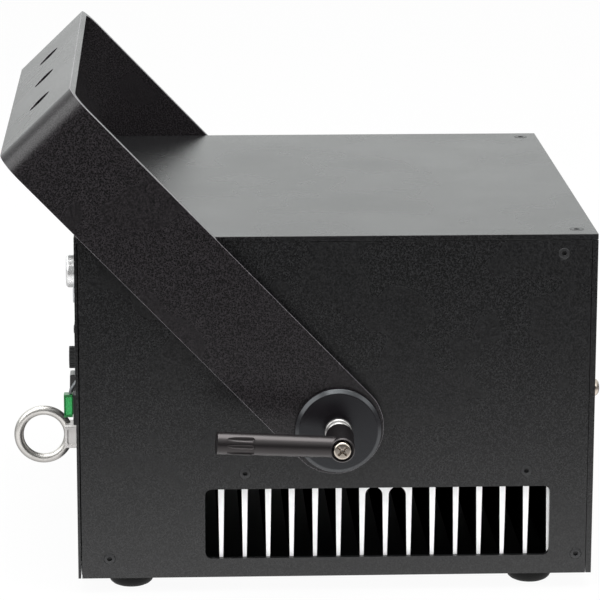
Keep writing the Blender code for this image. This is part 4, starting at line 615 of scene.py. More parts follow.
class PROJECTOR_OT_stage(bpy.types.Operator):
    """Camera, pale floor, white backdrop and soft studio lamps"""

    bl_idname = "projector.stage"
    bl_label = "Stage"

    # Each lamp's place and width in metres, and the setting that holds its power. All of them face one point.
    lamps = (
        ("softbox_top", (0.05, -0.15, 1.5), 1.3, "top_power"),
        ("softbox_left", (-1.2, -0.65, 0.95), 1.1, "left_power"),
        ("softbox_right", (1.3, -0.9, 0.9), 0.8, "right_power"),
    )
    aim = (0.0, 0.0, 0.1)
    # What reflections see: the bright room, the dark room in front, and the cool tint of both
    bright_room, dark_room, room_tint = 1.14, 0.05, (0.975, 1.0, 0.99, 1.0)
    # Half the table's width in metres, and how much of its look is plain white. The rest takes shadows.
    table_half, white_share = 6.0, 0.95

    def execute(self, context):
        scene = context.scene
        stage = scene.projector_stage
        self.camera(scene, stage)
        self.room(scene, stage)
        self.floor()
        for name, place, width, power in self.lamps:
            self.lamp(name, place, width, getattr(stage, power))
        scene.view_settings.view_transform = "Standard"
        return {"FINISHED"}

    def camera(self, scene, stage):
        """Stand where the photograph was taken from."""
        data = bpy.data.cameras.new("camera")
        data.lens = stage.lens
        data.sensor_width = 36
        data.clip_end = 20
        camera = new_object("camera", data)
        forward = Vector((math.sin(stage.turn) * math.cos(stage.dip),
                          math.cos(stage.turn) * math.cos(stage.dip), -math.sin(stage.dip)))
        level = Vector((math.cos(stage.turn), -math.sin(stage.turn), 0.0))
        down = forward.cross(level)
        right = level * math.cos(stage.roll) + down * math.sin(stage.roll)
        up = level * math.sin(stage.roll) - down * math.cos(stage.roll)
        camera.matrix_world = Matrix((right, up, -forward)).transposed().to_4x4()
        camera.location = (REAR_X + stage.eye_along, NEAR_Y - stage.eye_out, UNDERSIDE_Z + stage.eye_up)
        scene.camera = camera

    def room(self, scene, stage):
        """White where it is seen. In reflections it is bright all round, but for the dark room in front."""
        world = bpy.data.worlds.new("studio")
        world.use_nodes = True
        tree = world.node_tree
        tree.nodes.clear()
        rays = add(tree, "ShaderNodeLightPath")
        direction = add(tree, "ShaderNodeSeparateXYZ", {
            "Vector": add(tree, "ShaderNodeTexCoord").outputs["Generated"]}).outputs
        # It is dark low down towards the camera, and less so past the casing's ends
        front = add(tree, "ShaderNodeMapRange", {"Value": direction["Y"], **span(-0.2, -0.7, 0.0, 1.0)})
        low = add(tree, "ShaderNodeMapRange", {"Value": direction["Z"], **span(0.65, 0.25, 0.0, 1.0)})
        sideways = add(tree, "ShaderNodeMath", {0: direction["X"]}, operation="ABSOLUTE")
        ends = add(tree, "ShaderNodeMapRange", {"Value": sideways, **span(0.6, 0.9, 0.0, 0.7)})
        dim = add(tree, "ShaderNodeMath", {0: front, 1: ends}, operation="MAXIMUM")
        dark = add(tree, "ShaderNodeMath", {0: dim, 1: low}, operation="MULTIPLY")
        around = add(tree, "ShaderNodeMapRange", {
            "Value": dark, **span(0.0, 1.0, self.bright_room, self.dark_room)})
        strength = add(tree, "ShaderNodeMix", {0: mirror_rays(tree, rays), 2: stage.room_light, 3: around})
        seen = add(tree, "ShaderNodeMix", {0: rays.outputs["Is Camera Ray"], 2: strength, 3: 1.0})
        tint = add(tree, "ShaderNodeMix", {
            0: rays.outputs["Is Glossy Ray"], MIX_A: (1.0, 1.0, 1.0, 1.0), MIX_B: self.room_tint},
            data_type="RGBA")
        shell = add(tree, "ShaderNodeBackground", {"Color": tint.outputs[MIX_COLOUR], "Strength": seen})
        add(tree, "ShaderNodeOutputWorld", {"Surface": shell})
        scene.world = world

    def floor(self):
        """A pale table top that shows white and keeps a faint shadow. In reflections it is a painted pool of
        light near the object.
        """
        shape = bmesh.new()
        bmesh.ops.create_grid(shape, x_segments=1, y_segments=1, size=self.table_half)
        top = from_shape("table_top", shape)
        made = bpy.data.materials.new("matt white laminate")
        made.use_nodes = True
        tree = made.node_tree
        tree.nodes.clear()
        rays = add(tree, "ShaderNodeLightPath")
        place = add(tree, "ShaderNodeSeparateXYZ", {
            "Vector": add(tree, "ShaderNodeTexCoord").outputs["Object"]}).outputs
        # In reflections its brightness is painted: it fades into the dark in front, with painted shade below
        # the object and off its ends
        near = add(tree, "ShaderNodeMapRange", {"Value": place["Y"], **span(-0.67, -0.15, 0.03, 1.55)})
        below = add(tree, "ShaderNodeMapRange", {"Value": place["Y"], **span(-0.12, 0.04, near, 0.35)})
        off = add(tree, "ShaderNodeMath", {0: place["X"]}, operation="ABSOLUTE")
        pool = add(tree, "ShaderNodeMapRange", {"Value": off, **span(0.3, 0.7, below, 0.3)})
        mirrored = mirror_rays(tree, rays)
        strength = add(tree, "ShaderNodeMix", {0: mirrored, 2: 1.0, 3: pool})
        matt = add(tree, "ShaderNodeBsdfDiffuse", {"Color": srgb("#e9e9e9")})
        lit = add(tree, "ShaderNodeEmission", {"Strength": strength})
        either = add(tree, "ShaderNodeMath", {0: rays.outputs["Is Camera Ray"], 1: mirrored},
                     operation="MAXIMUM")
        share = add(tree, "ShaderNodeMath", {0: either, 1: self.white_share}, operation="MULTIPLY")
        blend = add(tree, "ShaderNodeMixShader", {0: share, 1: matt, 2: lit})
        add(tree, "ShaderNodeOutputMaterial", {"Surface": blend})
        top.data.materials.append(made)

    def lamp(self, name, place, width, power):
        """A square softbox."""
        data = bpy.data.lights.new(name, "AREA")
        data.size = width
        data.energy = power
        light = new_object(name, data)
        light.location = place
        light.rotation_euler = (Vector(self.aim) - Vector(place)).to_track_quat("-Z", "Y").to_euler()


class PROJECTOR_OT_panels(bpy.types.Operator):
    """Powder coated panels and the floor plate"""

    bl_idname = "projector.panels"
    bl_label = "Casing panels"

    def execute(self, context):
        width = context.scene.projector_sizes.panel_edge / MM
        for node in ("side_panel_near", "side_panel_far", "top_cover", "front_panel", "rear_panel",
                     "chassis"):
            dress(node, width)
        return {"FINISHED"}


class PROJECTOR_OT_flush_screws(bpy.types.Operator):
    """Flush socket screws in the sides and the cover"""

    bl_idname = "projector.flush_screws"
    bl_label = "Flush screws"

    # Places along and up on the sides, and along and across on the cover
    on_sides = ((18.3, 179.4), (262.3, 179.4), (17.1, 11.0), (271.9, 11.0), (91.0, 58.5), (244.1, 58.5))
    on_cover = ((10.2, 137.5), (10.2, -137.5), (270.4, 137.5), (270.4, -137.5))

    def execute(self, context):
        for side_name, side in SIDES:
            places = [spot(along, side * HALF_WIDTH, up) for along, up in self.on_sides]
            spread(f"screws_{side_name}", self.screw(head=6.6, key=2.5), places, (0.0, side, 0.0),
                   "cap_screw", math.tau, 3)
        places = [spot(along, across, CASE_TALL) for along, across in self.on_cover]
        spread("screws_cover", self.screw(head=8.2, key=3.0), places, UPWARDS, "cap_screw", math.tau, 5)
        return {"FINISHED"}

    def screw(self, head, key):
        """A countersunk head, its rounded rim just proud of the panel, with its hexagon socket."""
        rim, shank = head / 2 - 0.2, 1.5
        profile = [(0.0, 0.12), (rim - 0.7, 0.12), (rim - 0.3, 0.02), (rim - 0.05, -0.2), (rim, -0.45),
                   (shank, shank - rim - 0.45), (shank, -6.0), (0.0, -6.0)]
        screw = lathe("screw", profile, steps=48)
        corner = key / math.sqrt(3)
        socket = lathe("socket", [(0.0, 1.0), (corner, 1.0), (corner, -1.9), (0.0, -2.4)], steps=6)
        return recess(screw, [socket], 0.08, 1)


class PROJECTOR_OT_cooling(bpy.types.Operator):
    """Optical bed with its fins, and the two fans"""

    bl_idname = "projector.cooling"
    bl_label = "Cooling"

    first_fin, pitch, count = 78.0, 12.8, 15
    root, tip, fin_end = 3.5, 2.2, 10.0
    past_first, past_last, plate_bottom, plate_top = 12.0, 10.0, 52.0, 65.0
    # Tops of the arches between fins, and the gaps whose arch is the lower one
    arch_top, low_arch_top, low_arches = 56.0, 49.3, (6, 7)
    side_gap, slot_half, slot_end, slot_top = 3.3, 10.3, 6.4, 56.5
    blades, blade_root, blade_tip = 7, 6.5, 18.2
    # A blade's length round the hub, the radius inside which it narrows, its height, slant, cup and wall
    chord, narrow_inside, blade_height, slant, cup, wall = 10.0, 11.0, 7.3, 8.0, 1.6, 1.1

    def execute(self, context):
        self.bed()
        for number in (1, 2):
            dress(f"fan_frame_{number}", 0.3)
            self.rotor(f"fan_rotor_{number}")
        return {"FINISHED"}

    def comb(self):
        """The bed's section: a plate with tapered fins under it, arched between them."""
        radius = (self.pitch - self.root) / 2
        last = self.first_fin + (self.count - 1) * self.pitch
        rear, front = self.first_fin - self.past_first, last + self.past_last
        bottom, top = self.plate_bottom, self.plate_top
        points = [(rear, bottom), (rear, top), (front, top), (front, bottom), (last + self.root / 2, bottom)]
        for i in reversed(range(self.count)):
            along = self.first_fin + i * self.pitch
            points += [(along + self.tip / 2, self.fin_end), (along - self.tip / 2, self.fin_end)]
            if i:
                peak = self.low_arch_top if i - 1 in self.low_arches else self.arch_top
                points += arc((along - self.pitch / 2, peak - radius), radius, 0, 180, 20)
        return points + [(self.first_fin - self.root / 2, bottom)]

    def bed(self):
        """Two banks of fins with a slot for the fans between them. The sawn ends are bare metal."""
        outer = HALF_WIDTH - self.side_gap
        bed = prism("heat_sink_finished", self.comb(), "XZ", -outer, outer)
        last = self.first_fin + (self.count - 1) * self.pitch
        slot = slab("fan_slot", (self.first_fin - self.slot_end, -self.slot_half, -1.0),
                    (last + self.slot_end, self.slot_half, self.slot_top))
        recess(bed, [slot], 0.2)
        paint(bed, "fin_metal", "sawn_end")
        settle(bed, "heat_sink")
        for face in bed.data.polygons:
            if abs(face.normal.y) > 0.6:
                face.material_index = 1

    def rotor(self, node):
        """A hub with curved, twisted blades, which turns about the casing's width."""
        low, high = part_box(node)
        along, _, up = middle(node)
        matrix = stand(spot(along, low.y / MM, up), FARWARDS)
        depth = (high.y - low.y) / MM
        profile = [(0.0, depth), (1.4, depth), (1.4, depth - 2.4), (7.2, depth - 2.4), (8.0, depth - 3.2),
                   (8.0, 0.6), (7.4, 0.0), (0.0, 0.0)]
        hub = lathe("hub", profile, matrix)
        blades = ring("blades", self.blade(), self.blades, matrix, "fan_black")
        rotor = join(f"{node}_finished", [hub, blades])
        smooth(rotor)
        settle(rotor, node)

    def blade(self):
        """One blade: a plate that runs round the hub at a slant, cupped towards its outflow."""
        rows, columns = 6, 8
        points, faces = [], []
        for i in range(rows + 1):
            reach = self.blade_root + (self.blade_tip - self.blade_root) * i / rows
            for j in range(columns + 1):
                share = j / columns - 0.5
                turn = share * self.chord / max(reach, self.narrow_inside)
                height = self.blade_height + share * self.slant + self.cup * (0.25 - share * share)
                points.append((reach * math.cos(turn) * MM, reach * math.sin(turn) * MM, height * MM))
        for i in range(rows):
            for j in range(columns):
                first = i * (columns + 1) + j
                faces.append((first, first + 1, first + columns + 2, first + columns + 1))
        mesh = bpy.data.meshes.new("blade")
        mesh.from_pydata(points, [], faces)
        blade = new_object("blade", mesh)
        wall = blade.modifiers.new("Wall", "SOLIDIFY")
        wall.thickness = self.wall * MM
        wall.offset = 0.0
        return apply_modifiers(blade)


class PROJECTOR_OT_yoke(bpy.types.Operator):
    """The bent strap"""

    bl_idname = "projector.yoke"
    bl_label = "Yoke"

    def execute(self, context):
        width = context.scene.projector_sizes.yoke_edge / MM
        # Its rolled edges take the pale finish, a painted highlight along them
        settle(soften(copy_of("yoke"), width, 3, ("yoke_black", "yoke_edge")), "yoke")
        return {"FINISHED"}


class PROJECTOR_OT_clamps(bpy.types.Operator):
    """Bush, disc, stud, lever and screw on each side"""

    bl_idname = "projector.clamps"
    bl_label = "Clamps"

    # Distances out from the side of the casing
    disc_back, disc_face, collar_top, lever_base, lever_top, screw_top = 6.3, 10.3, 20.9, 21.2, 46.9, 48.5
    # The disc's radius, its bevel inwards and back, and its bore's radius
    disc_radius, bevel_in, bevel_back, bore = 23.4, 2.2, 1.8, 4.3
    # The arm's length, its root's drop from the hub's top and lift from its axis, and its angles in degrees
    reach, arm_drop, arm_lift, lean, rest = 67.0, 5.6, 0.3, 6.0, 4.3
    flute_length, flute_radius, flute_out, flute_from_tip, flute_spread = 15.5, 1.75, 6.4, 4.4, 37.0

    def execute(self, context):
        width = context.scene.projector_sizes.small_edge / MM
        for side_name, side in SIDES:
            dress(f"pivot_bush_{side_name}", width)
            along, _, up = middle(f"clamp_disc_{side_name}")
            at = spot(along, side * HALF_WIDTH, up)
            matrix = stand(at, (0.0, side, 0.0))
            settle(self.disc(matrix), f"clamp_disc_{side_name}")
            settle(self.stud(matrix), f"clamp_stud_{side_name}")
            settle(self.screw(matrix), f"clamp_screw_{side_name}")
            settle(self.lever(side, at, matrix), f"clamp_lever_{side_name}")
        return {"FINISHED"}

    def disc(self, matrix):
        """A flat disc with a bevelled rim."""
        radius, face, back = self.disc_radius, self.disc_face, self.disc_back
        profile = [(self.bore, face), (radius - self.bevel_in, face), (radius, face - self.bevel_back),
                   (radius, back), (self.bore, back)]
        return soften(lathe("disc", profile, matrix, 144, True), 0.3, 3)

    def stud(self, matrix):
        """A stud with a domed base and a plain collar, which the lever sits on."""
        collar = self.collar_top
        profile = [(0.0, 32.9), (3.4, 32.9), (4.0, 32.3), (4.0, collar), (5.4, collar), (5.4, 13.6),
                   (5.8, 13.1), (6.4, 12.7), (6.8, 12.6), (7.1, 12.4), (7.4, 12.1), (7.7, 11.5), (7.8, 10.6),
                   (4.0, 10.6), (4.0, -14.0), (0.0, -14.0)]
        return soften(lathe("stud", profile, matrix), 0.15)

    def screw(self, matrix):
        """A pan head with a cross recess, its arms at 45 degrees to the lever."""
        top = self.screw_top
        profile = [(0.0, top), (3.6, top - 0.03), (4.0, top - 0.15), (4.4, top - 0.5), (4.7, top - 1.0),
                   (4.85, top - 1.8), (4.85, top - 3.4), (2.0, top - 3.4), (2.0, 22.9), (0.0, 22.9)]
        screw = lathe("pan_head", profile, matrix)
        arms = []
        for turn in (45, 135):
            arm = lathe("arm", [(0.0, 0.6), (5.2, 0.6), (3.0, -1.9), (0.0, -2.1)], steps=4)
            arm.data.transform(Matrix.Rotation(math.radians(45), 4, "Z"))
            arm.data.transform(Matrix.Diagonal((1.0, 0.2, 1.0, 1.0)))
            arm.data.transform(Matrix.Rotation(math.radians(turn), 4, "Z"))
            arm.data.transform(matrix @ Matrix.Translation((0.0, 0.0, top * MM)))
            arms.append(arm)
        point = lathe("point", [(0.0, 0.2), (1.5, 0.2), (0.9, -2.2), (0.0, -2.5)],
                      matrix @ Matrix.Translation((0.0, 0.0, top * MM)), 24)
        return recess(screw, [*arms, point], 0.1)

    def lever(self, side, at, matrix):
        """A slim bored hub, and a round arm that leans out, with three flutes that taper to its tip."""
        base, top = self.lever_base, self.lever_top
        profile = [(5.9, top), (6.1, top), (6.7, top - 0.6), (6.8, top - 2.0), (7.2, base + 7.0),
                   (7.7, base + 1.5), (7.6, base), (4.3, base), (4.3, base + 10.0), (5.3, base + 10.0),
                   (5.3, top - 1.5), (5.9, top - 1.5)]
        lever = lathe("hub", profile, matrix, closed=True)
        swing = Matrix.Rotation(math.radians(self.rest), 4, "Y")
        lean = Matrix.Rotation(math.radians(-side * self.lean), 4, "Z")
        rearwards = Matrix.Rotation(-math.pi / 2, 4, "Y")
        foot = at + Vector((0.0, side * (top - self.arm_drop) * MM, self.arm_lift * MM))
        root = Matrix.Translation(foot) @ swing @ lean
        arm = lathe("arm", [(0.0, 0.0), (5.7, 0.0), (6.0, self.reach - 5.0), (5.95, self.reach - 0.7),
                            (5.8, self.reach - 0.2), (5.4, self.reach), (0.0, self.reach)], root @ rearwards)
        bore = lathe("bore", [(0.0, base + 10.0), (5.3, base + 10.0), (5.3, top - 1.5), (5.9, top - 1.5),
                              (5.9, top + 5.0), (0.0, top + 5.0)], matrix)
        shape_with(arm, "DIFFERENCE", [bore])
        shape_with(lever, "UNION", [arm])
        start = self.reach - self.flute_from_tip - self.flute_length
        along = Matrix.Translation((-start * MM, side * self.flute_out * MM, 0.0))
        radius, length = self.flute_radius, self.flute_length
        outline = arc((0.0, radius), radius, -90, 0, 8) + [
            (radius, length - 9.0), (radius * 0.9, length - 5.0), (radius * 0.6, length - 1.5), (0.0, length)]
        flutes = []
        for i in (-1, 0, 1):
            around = Matrix.Rotation(math.radians(i * self.flute_spread), 4, "X")
            flutes.append(lathe("flute", outline, root @ around @ along @ rearwards, 24))
        return recess(lever, flutes, 0.22)


class PROJECTOR_OT_feet(bpy.types.Operator):
    """Domed rubber feet"""

    bl_idname = "projector.feet"
    bl_label = "Feet"

    # The table's height below the casing, and a foot's outline from there up, as radius and height
    ground = -8.6
    profile = ((0.0, 8.3), (12.3, 8.3), (12.6, 8.0), (12.6, 5.2), (12.3, 3.6), (11.5, 2.1), (10.3, 1.0),
               (8.9, 0.3), (7.6, 0.0), (0.0, 0.0))

    def execute(self, context):
        for end in ("rear", "front"):
            for side_name, _ in SIDES:
                node = f"foot_{end}_{side_name}"
                along, across, _ = middle(node)
                foot = lathe(node, self.profile, stand(spot(along, across, self.ground), UPWARDS))
                settle(soften(foot, 0.1), node)
        return {"FINISHED"}


class PROJECTOR_OT_front(bpy.types.Operator):
    """Window glass, masking plate, thumbscrews and button-head screws"""

    bl_idname = "projector.front"
    bl_label = "Front fittings"

    def execute(self, context):
        width = context.scene.projector_sizes.small_edge / MM
        dress("window_glass", width)
        dress("aperture_mask", width)
        for side_name, _ in SIDES:
            dress(f"mask_thumbscrew_{side_name}", 0.12)
            node = f"front_screw_{side_name}"
            _, across, up = middle(node)
            matrix = stand(spot(CASE_LENGTH, across, up), FORWARDS)
            profile = [(0.0, 3.7), (1.9, 3.64), (3.2, 3.25), (4.2, 2.5), (4.75, 1.5), (4.9, 0.7), (4.9, 0.3),
                       (2.5, 0.3), (2.5, -12.0), (0.0, -12.0)]
            screw = lathe(node, profile, matrix)
            socket = lathe("socket", [(0.0, 5.0), (1.73, 5.0), (1.73, 1.6), (0.0, 1.1)], matrix, 6)
            settle(recess(screw, [socket], 0.12), node)
        return {"FINISHED"}


class PROJECTOR_OT_optics(bpy.types.Operator):
    """Laser modules, mirrors and the scanner"""

    bl_idname = "projector.optics"
    bl_label = "Optics"

    # Length of a module's lid, and how far its screws sit in from its edges
    lid_length, lid_inset = 108.0, 4.5

    def execute(self, context):
        for colour in ("red", "green", "blue"):
            node = f"laser_module_{colour}"
            dress(node, 0.5)
            self.lid_screws(node)
        for node in ("folding_mirror", "dichroic_mirror_green", "dichroic_mirror_blue", "galvo_block",
                     "galvo_motor_x", "galvo_motor_y", "galvo_mirror_x", "galvo_mirror_y"):
            dress(node, 0.2)
        return {"FINISHED"}

    def lid_screws(self, node):
        """Four socket cap screws in the corners of a module's lid."""
        low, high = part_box(node)
        inset = self.lid_inset * MM
        front = low.x + self.lid_length * MM
        places = [(x, y, high.z) for x in (low.x + inset, front - inset)
                  for y in (low.y + inset, high.y - inset)]
        screw = lathe("screw", [(0.0, 2.5), (2.3, 2.5), (2.6, 2.2), (2.6, -0.5), (0.0, -0.5)], steps=32)
        socket = lathe("socket", [(0.0, 4.0), (1.44, 4.0), (1.44, 1.0), (0.0, 1.0)], steps=6)
        spread(f"{node}_screws", recess(screw, [socket], 0.1), places, UPWARDS, "cap_screw", math.tau)


class PROJECTOR_OT_electronics(bpy.types.Operator):
    """Power supply and boards, with what is mounted on them"""

    bl_idname = "projector.electronics"
    bl_label = "Electronics"

    # The control board's face along the casing, and the driver's face above its underside
    board_face, driver_face = 41.6, 76.9
    vent_margin, vent_pitch, vent_rows, vent_columns = 14.0, 6.0, 12, 23

    def execute(self, context):
        dress("power_supply", 0.6)
        dress("control_board", 0.2)
        dress("galvo_driver", 0.2)
        self.vents()
        self.capacitors()
        self.headers()
        return {"FINISHED"}

    def vents(self):
        """Rows of flat dark discs on the supply's front: painted shade in place of its round vent holes."""
        low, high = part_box("power_supply")
        rows, columns = (
            [start + away * MM for away in row(self.vent_margin, self.vent_pitch, count)]
            for start, count in ((low.z, self.vent_rows), (low.y, self.vent_columns)))
        hole = lathe("hole", [(0.0, 0.03), (1.6, 0.03), (1.7, 0.0)], steps=12)
        places = [(high.x, y, z) for z in rows for y in columns]
        spread("supply_vents", hole, places, FORWARDS, "fan_black")

    def capacitors(self):
        """Electrolytic capacitors on both boards."""
        board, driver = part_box("control_board"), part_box("galvo_driver")
        profile = [(0.0, 11.6), (3.6, 11.6), (4.0, 12.0), (4.9, 11.6), (5.0, 11.0), (5.0, 0.0), (0.0, 0.0)]
        for name, facing, places in (
                ("control_capacitors", FORWARDS, [
                    (REAR_X + self.board_face * MM, board[0].y + across * MM, board[0].z + 14.0 * MM)
                    for across in row(12.0, 13.0, 7)]),
                ("driver_capacitors", UPWARDS, [
                    (driver[0].x + along * MM, driver[1].y - 16.0 * MM, UNDERSIDE_Z + self.driver_face * MM)
                    for along in row(18.0, 14.0, 6)])):
            can = lathe("can", profile, steps=40)
            spread(name, soften(can, 0.15), places, facing, "sleeve_blue", math.tau)

    def headers(self):
        """White pin headers along the control board's upper edge and the driver's near edge."""
        board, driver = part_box("control_board"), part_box("galvo_driver")
        start, top = board[0].y / MM, (board[1].z - UNDERSIDE_Z) / MM
        length, width, tall = 16.0, 6.0, 8.0
        blocks = [slab("header", (self.board_face, across, top - 18.0),
                       (self.board_face + tall, across + length, top - 18.0 + width))
                  for across in row(start + 14.0, 24.0, 4)]
        start, across = (driver[0].x - REAR_X) / MM, driver[0].y / MM + 3.0
        blocks += [slab("header", (along, across, self.driver_face),
                        (along + length, across + width, self.driver_face + tall))
                   for along in row(start + 14.0, 26.0, 3)]
        settle(soften(join("headers", blocks), 0.3), slot="header_white", body="casing")


class PROJECTOR_OT_safety_eye(bpy.types.Operator):
    """Polished eye for the safety cable, on a square block with a bare recess on each side"""

    bl_idname = "projector.safety_eye"
    bl_label = "Safety eye"

    # Height of its axis, the ring's middle along the casing, and the radius of the ring and of its wire
    axis_up, ring_along, ring_radius, wire_radius = 39.9, -23.2, 14.55, 2.75

    def execute(self, context):
        up, count = self.axis_up, 144
        path = [spot(along, 0.0, height)
                for along, height in arc((self.ring_along, up), self.ring_radius, 0, 360, count)[:-1]]
        eye = run_tree("Tube", "ring", path, {
            "Radius": self.wire_radius * MM, "Sides": 32, "Finish": FINISH["eye_steel"]},
            [(i, (i + 1) % count) for i in range(count)])
        eye.data.shade_smooth()
        block = prism("block", rounded((0.0, up), 14.0, 14.2, 1.8), "YZ", -10.7, -0.3)
        panels = [prism("recess", rounded((-5.4, up), 7.2, 9.4, 1.4), "XZ", *sorted((side * 6.5, side * 8.0)))
                  for _, side in SIDES]
        shape_with(block, "DIFFERENCE", panels)
        shank = lathe("shank", [(0.0, 1.0), (4.0, 1.0), (4.0, -16.0), (0.0, -16.0)],
                      stand(spot(0.0, 0.0, up), REARWARDS))
        shape_with(block, "UNION", [shank])
        soften(block, 0.35, 3)
        for face in block.data.polygons:
            face.material_index = 1
        whole = join("eyebolt_finished", [eye, block])
        paint(whole, "eye_steel", "eye_cast")
        settle(whole, "eyebolt")
        return {"FINISHED"}


class PROJECTOR_OT_switches(bpy.types.Operator):
    """Key switch, fuse and mains rocker"""

    bl_idname = "projector.switches"
    bl_label = "Switches"

    def execute(self, context):
        _, across, up = middle("key_switch_barrel")
        matrix = stand(spot(0.0, across, up), REARWARDS)
        profile = [(5.8, 8.6), (7.9, 8.6), (8.6, 8.35), (9.15, 7.8), (9.5, 7.0), (9.5, 0.3), (8.0, 0.3),
                   (8.0, -22.0), (5.8, -22.0)]
        barrel = lathe("barrel", profile, matrix, 96, True)
        settle(soften(barrel, 0.12), "key_switch_barrel")
        for node in ("key_switch_plug", "fuse_holder", "rocker_frame"):
            dress(node, 0.25)
        dress("fuse_cap", 0.2)
        dress("rocker", 0.35, 3)
        return {"FINISHED"}


class PROJECTOR_OT_interlock(bpy.types.Operator):
    """Interlock header, its plug and the bridge wire"""

    bl_idname = "projector.interlock"
    bl_label = "Interlock"

    def execute(self, context):
        dress("interlock_header", 0.3)
        plug = copy_of("interlock_plug")
        low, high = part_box("interlock_plug")
        along = (low.x - REAR_X) / MM
        bottom, top = (low.z - UNDERSIDE_Z) / MM, (high.z - UNDERSIDE_Z) / MM
        near, far = low.y / MM, high.y / MM
        windows = [slab("window", (along + 0.7, edge - 0.45, bottom + 1.4),
                        (along + 4.3, edge + 0.45, top - 1.4)) for edge in (near, far)]
        screws = [slab("terminal", (along - 1.0, near + 1.0 + offset, top - 4.6),
                       (along + 1.6, near + 2.9 + offset, top - 1.2)) for offset in (0.0, 2.5)]
        recess(plug, windows + screws, 0.25)
        paint(plug, "plug_green", "plug_window")
        # The recessed window faces take the lighter green: painted light shining through the plug
        for face in plug.data.polygons:
            depth = min(face.center.y - low.y, high.y - face.center.y)
            if abs(face.normal.y) > 0.9 and depth > 0.3 * MM:
                face.material_index = 1
        settle(plug, "interlock_plug")
        dress("interlock_bridge", 0.1)
        return {"FINISHED"}


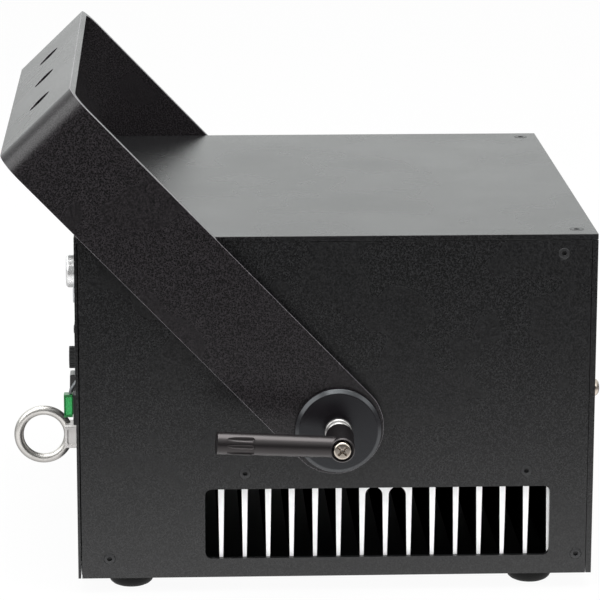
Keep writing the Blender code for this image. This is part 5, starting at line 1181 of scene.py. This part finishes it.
class PROJECTOR_OT_sockets(bpy.types.Operator):
    """Sockets on the rear panel, with their contacts and flange screws"""

    bl_idname = "projector.sockets"
    bl_label = "Sockets"

    # The signal socket's pins: their pitch, half the step between their rows, and their depth in the socket
    pin_pitch, pin_row, pin_depth = 2.76, 1.42, 2.6

    def execute(self, context):
        for node in ("ilda_socket", "dmx_socket", "network_socket", "power_inlet"):
            dress(node, 0.25)
        self.signal_pins()
        self.round_contacts("dmx_pins", "dmx_socket", 3, 4.8, 1.15, 12.0, 4.0, "contact_gold")
        self.round_contacts("inlet_contacts", "power_inlet", 3, 5.6, 1.5, 12.0, 5.0, "bridge_grey")
        self.network_contacts()
        self.flange_screws()
        return {"FINISHED"}

    def signal_pins(self):
        """Twenty-five pins in two rows, in their black insulator, and the two threaded posts."""
        _, across, up = middle("ilda_socket")
        places = [spot(self.pin_depth, across + (i - (count - 1) / 2) * self.pin_pitch, up + row)
                  for count, row in ((13, self.pin_row), (12, -self.pin_row)) for i in range(count)]
        pin = lathe("pin", [(0.0, 4.0), (0.3, 3.9), (0.5, 3.5), (0.5, 0.0), (0.0, 0.0)], steps=12)
        spread("signal_pins", soften(pin, 0.03, 1), places, REARWARDS, "contact_gold")
        outline = [(across - 18.4, up + 3.2), (across + 18.4, up + 3.2), (across + 16.9, up - 3.2),
                   (across - 16.9, up - 3.2)]
        insulator = prism("signal_insulator", outline, "YZ", self.pin_depth, 3.7)
        settle(insulator, slot="fitting_black", body="casing")
        profile = [(1.5, 0.0), (2.8, 0.0), (2.8, 0.3), (2.5, 0.5), (1.5, 0.5), (1.3, 0.3), (1.3, 0.0)]
        post = lathe("post", profile, steps=6, closed=True)
        places = [spot(-1.2, across + side * 23.5, up) for _, side in SIDES]
        spread("signal_posts", soften(post, 0.1), places, REARWARDS, "shell_tin", math.tau)

    def round_contacts(self, name, node, count, spacing, radius, depth, length, slot):
        """Contacts in a ring at the bottom of a round mouth."""
        _, across, up = middle(node)
        profile = [(0.0, length), (radius * 0.6, length - 0.1), (radius, length - 0.7), (radius, 0.0),
                   (0.0, 0.0)]
        pin = lathe("pin", profile, Matrix.Translation((spacing * MM, 0.0, 0.0)), 24)
        matrix = stand(spot(depth, across, up), REARWARDS)
        pins = ring(name, soften(pin, 0.1), count, matrix, slot)
        settle(pins, slot=slot, body="casing")

    def network_contacts(self):
        """Eight sprung contacts under the top of the mouth."""
        _, across, up = middle("network_socket")
        count, pitch = 8, 1.27
        places = [spot(0.0, across + (i - (count - 1) / 2) * pitch, up + 4.6) for i in range(count)]
        strip = lathe("strip", [(0.0, 0.0), (0.32, 0.0), (0.32, 9.0), (0.0, 9.0)], steps=4)
        spread("network_contacts", strip, places, (1.0, 0.0, -0.3), "contact_gold")

    def flange_screws(self):
        """Two countersunk screws in opposite corners of each round socket's flange."""
        places = []
        for node in ("dmx_socket", "network_socket", "power_inlet"):
            _, across, up = middle(node)
            places += [spot(-1.95, across - 9.5, up + 12.0), spot(-1.95, across + 9.5, up - 12.0)]
        screw = lathe("screw", [(0.0, 0.5), (2.0, 0.4), (2.7, 0.0), (0.0, -0.6)], steps=40)
        socket = lathe("socket", [(0.0, 2.0), (0.9, 2.0), (0.9, -0.4), (0.0, -0.5)], steps=6)
        spread("flange_screws", recess(screw, [socket], 0.06), places, REARWARDS, "cap_screw", math.tau,
               11)


class PROJECTOR_PT_sidebar(bpy.types.Panel):
    """Lists the projector's operators and settings"""

    bl_idname = "PROJECTOR_PT_sidebar"
    bl_label = "Laser show projector"
    bl_space_type = "VIEW_3D"
    bl_region_type = "UI"
    bl_category = "Projector"

    def draw(self, context):
        for operator in OPERATORS:
            self.layout.operator(operator.bl_idname)
        for group in (context.scene.projector_sizes, context.scene.projector_colours,
                      context.scene.projector_stage):
            for name in group.__annotations__:
                self.layout.prop(group, name)


OPERATORS = (
    PROJECTOR_OT_stage, PROJECTOR_OT_panels, PROJECTOR_OT_flush_screws, PROJECTOR_OT_cooling,
    PROJECTOR_OT_yoke, PROJECTOR_OT_clamps, PROJECTOR_OT_feet, PROJECTOR_OT_front, PROJECTOR_OT_optics,
    PROJECTOR_OT_electronics, PROJECTOR_OT_safety_eye, PROJECTOR_OT_switches, PROJECTOR_OT_interlock,
    PROJECTOR_OT_sockets,
)
GROUPS = (
    ("projector_sizes", ProjectorSizes),
    ("projector_colours", ProjectorColours),
    ("projector_stage", ProjectorStage),
)


def register():
    """Add the classes, and the settings to the scene."""
    for name, group in GROUPS:
        bpy.utils.register_class(group)
        setattr(bpy.types.Scene, name, bpy.props.PointerProperty(type=group))
    for kind in (*OPERATORS, PROJECTOR_PT_sidebar):
        bpy.utils.register_class(kind)


def unregister():
    """Take away what register added."""
    for kind in reversed((*OPERATORS, PROJECTOR_PT_sidebar)):
        bpy.utils.unregister_class(kind)
    for name, group in reversed(GROUPS):
        delattr(bpy.types.Scene, name)
        bpy.utils.unregister_class(group)


def main():
    """Build the whole object."""
    register()
    FINISH.update(make_materials())
    TREES.update({"Spread": spread_tree(), "Ring": ring_tree(), "Tube": tube_tree()})
    for operator in OPERATORS:
        family, word = operator.bl_idname.split(".")
        getattr(getattr(bpy.ops, family), word)()


if __name__ == "__main__":
    main()
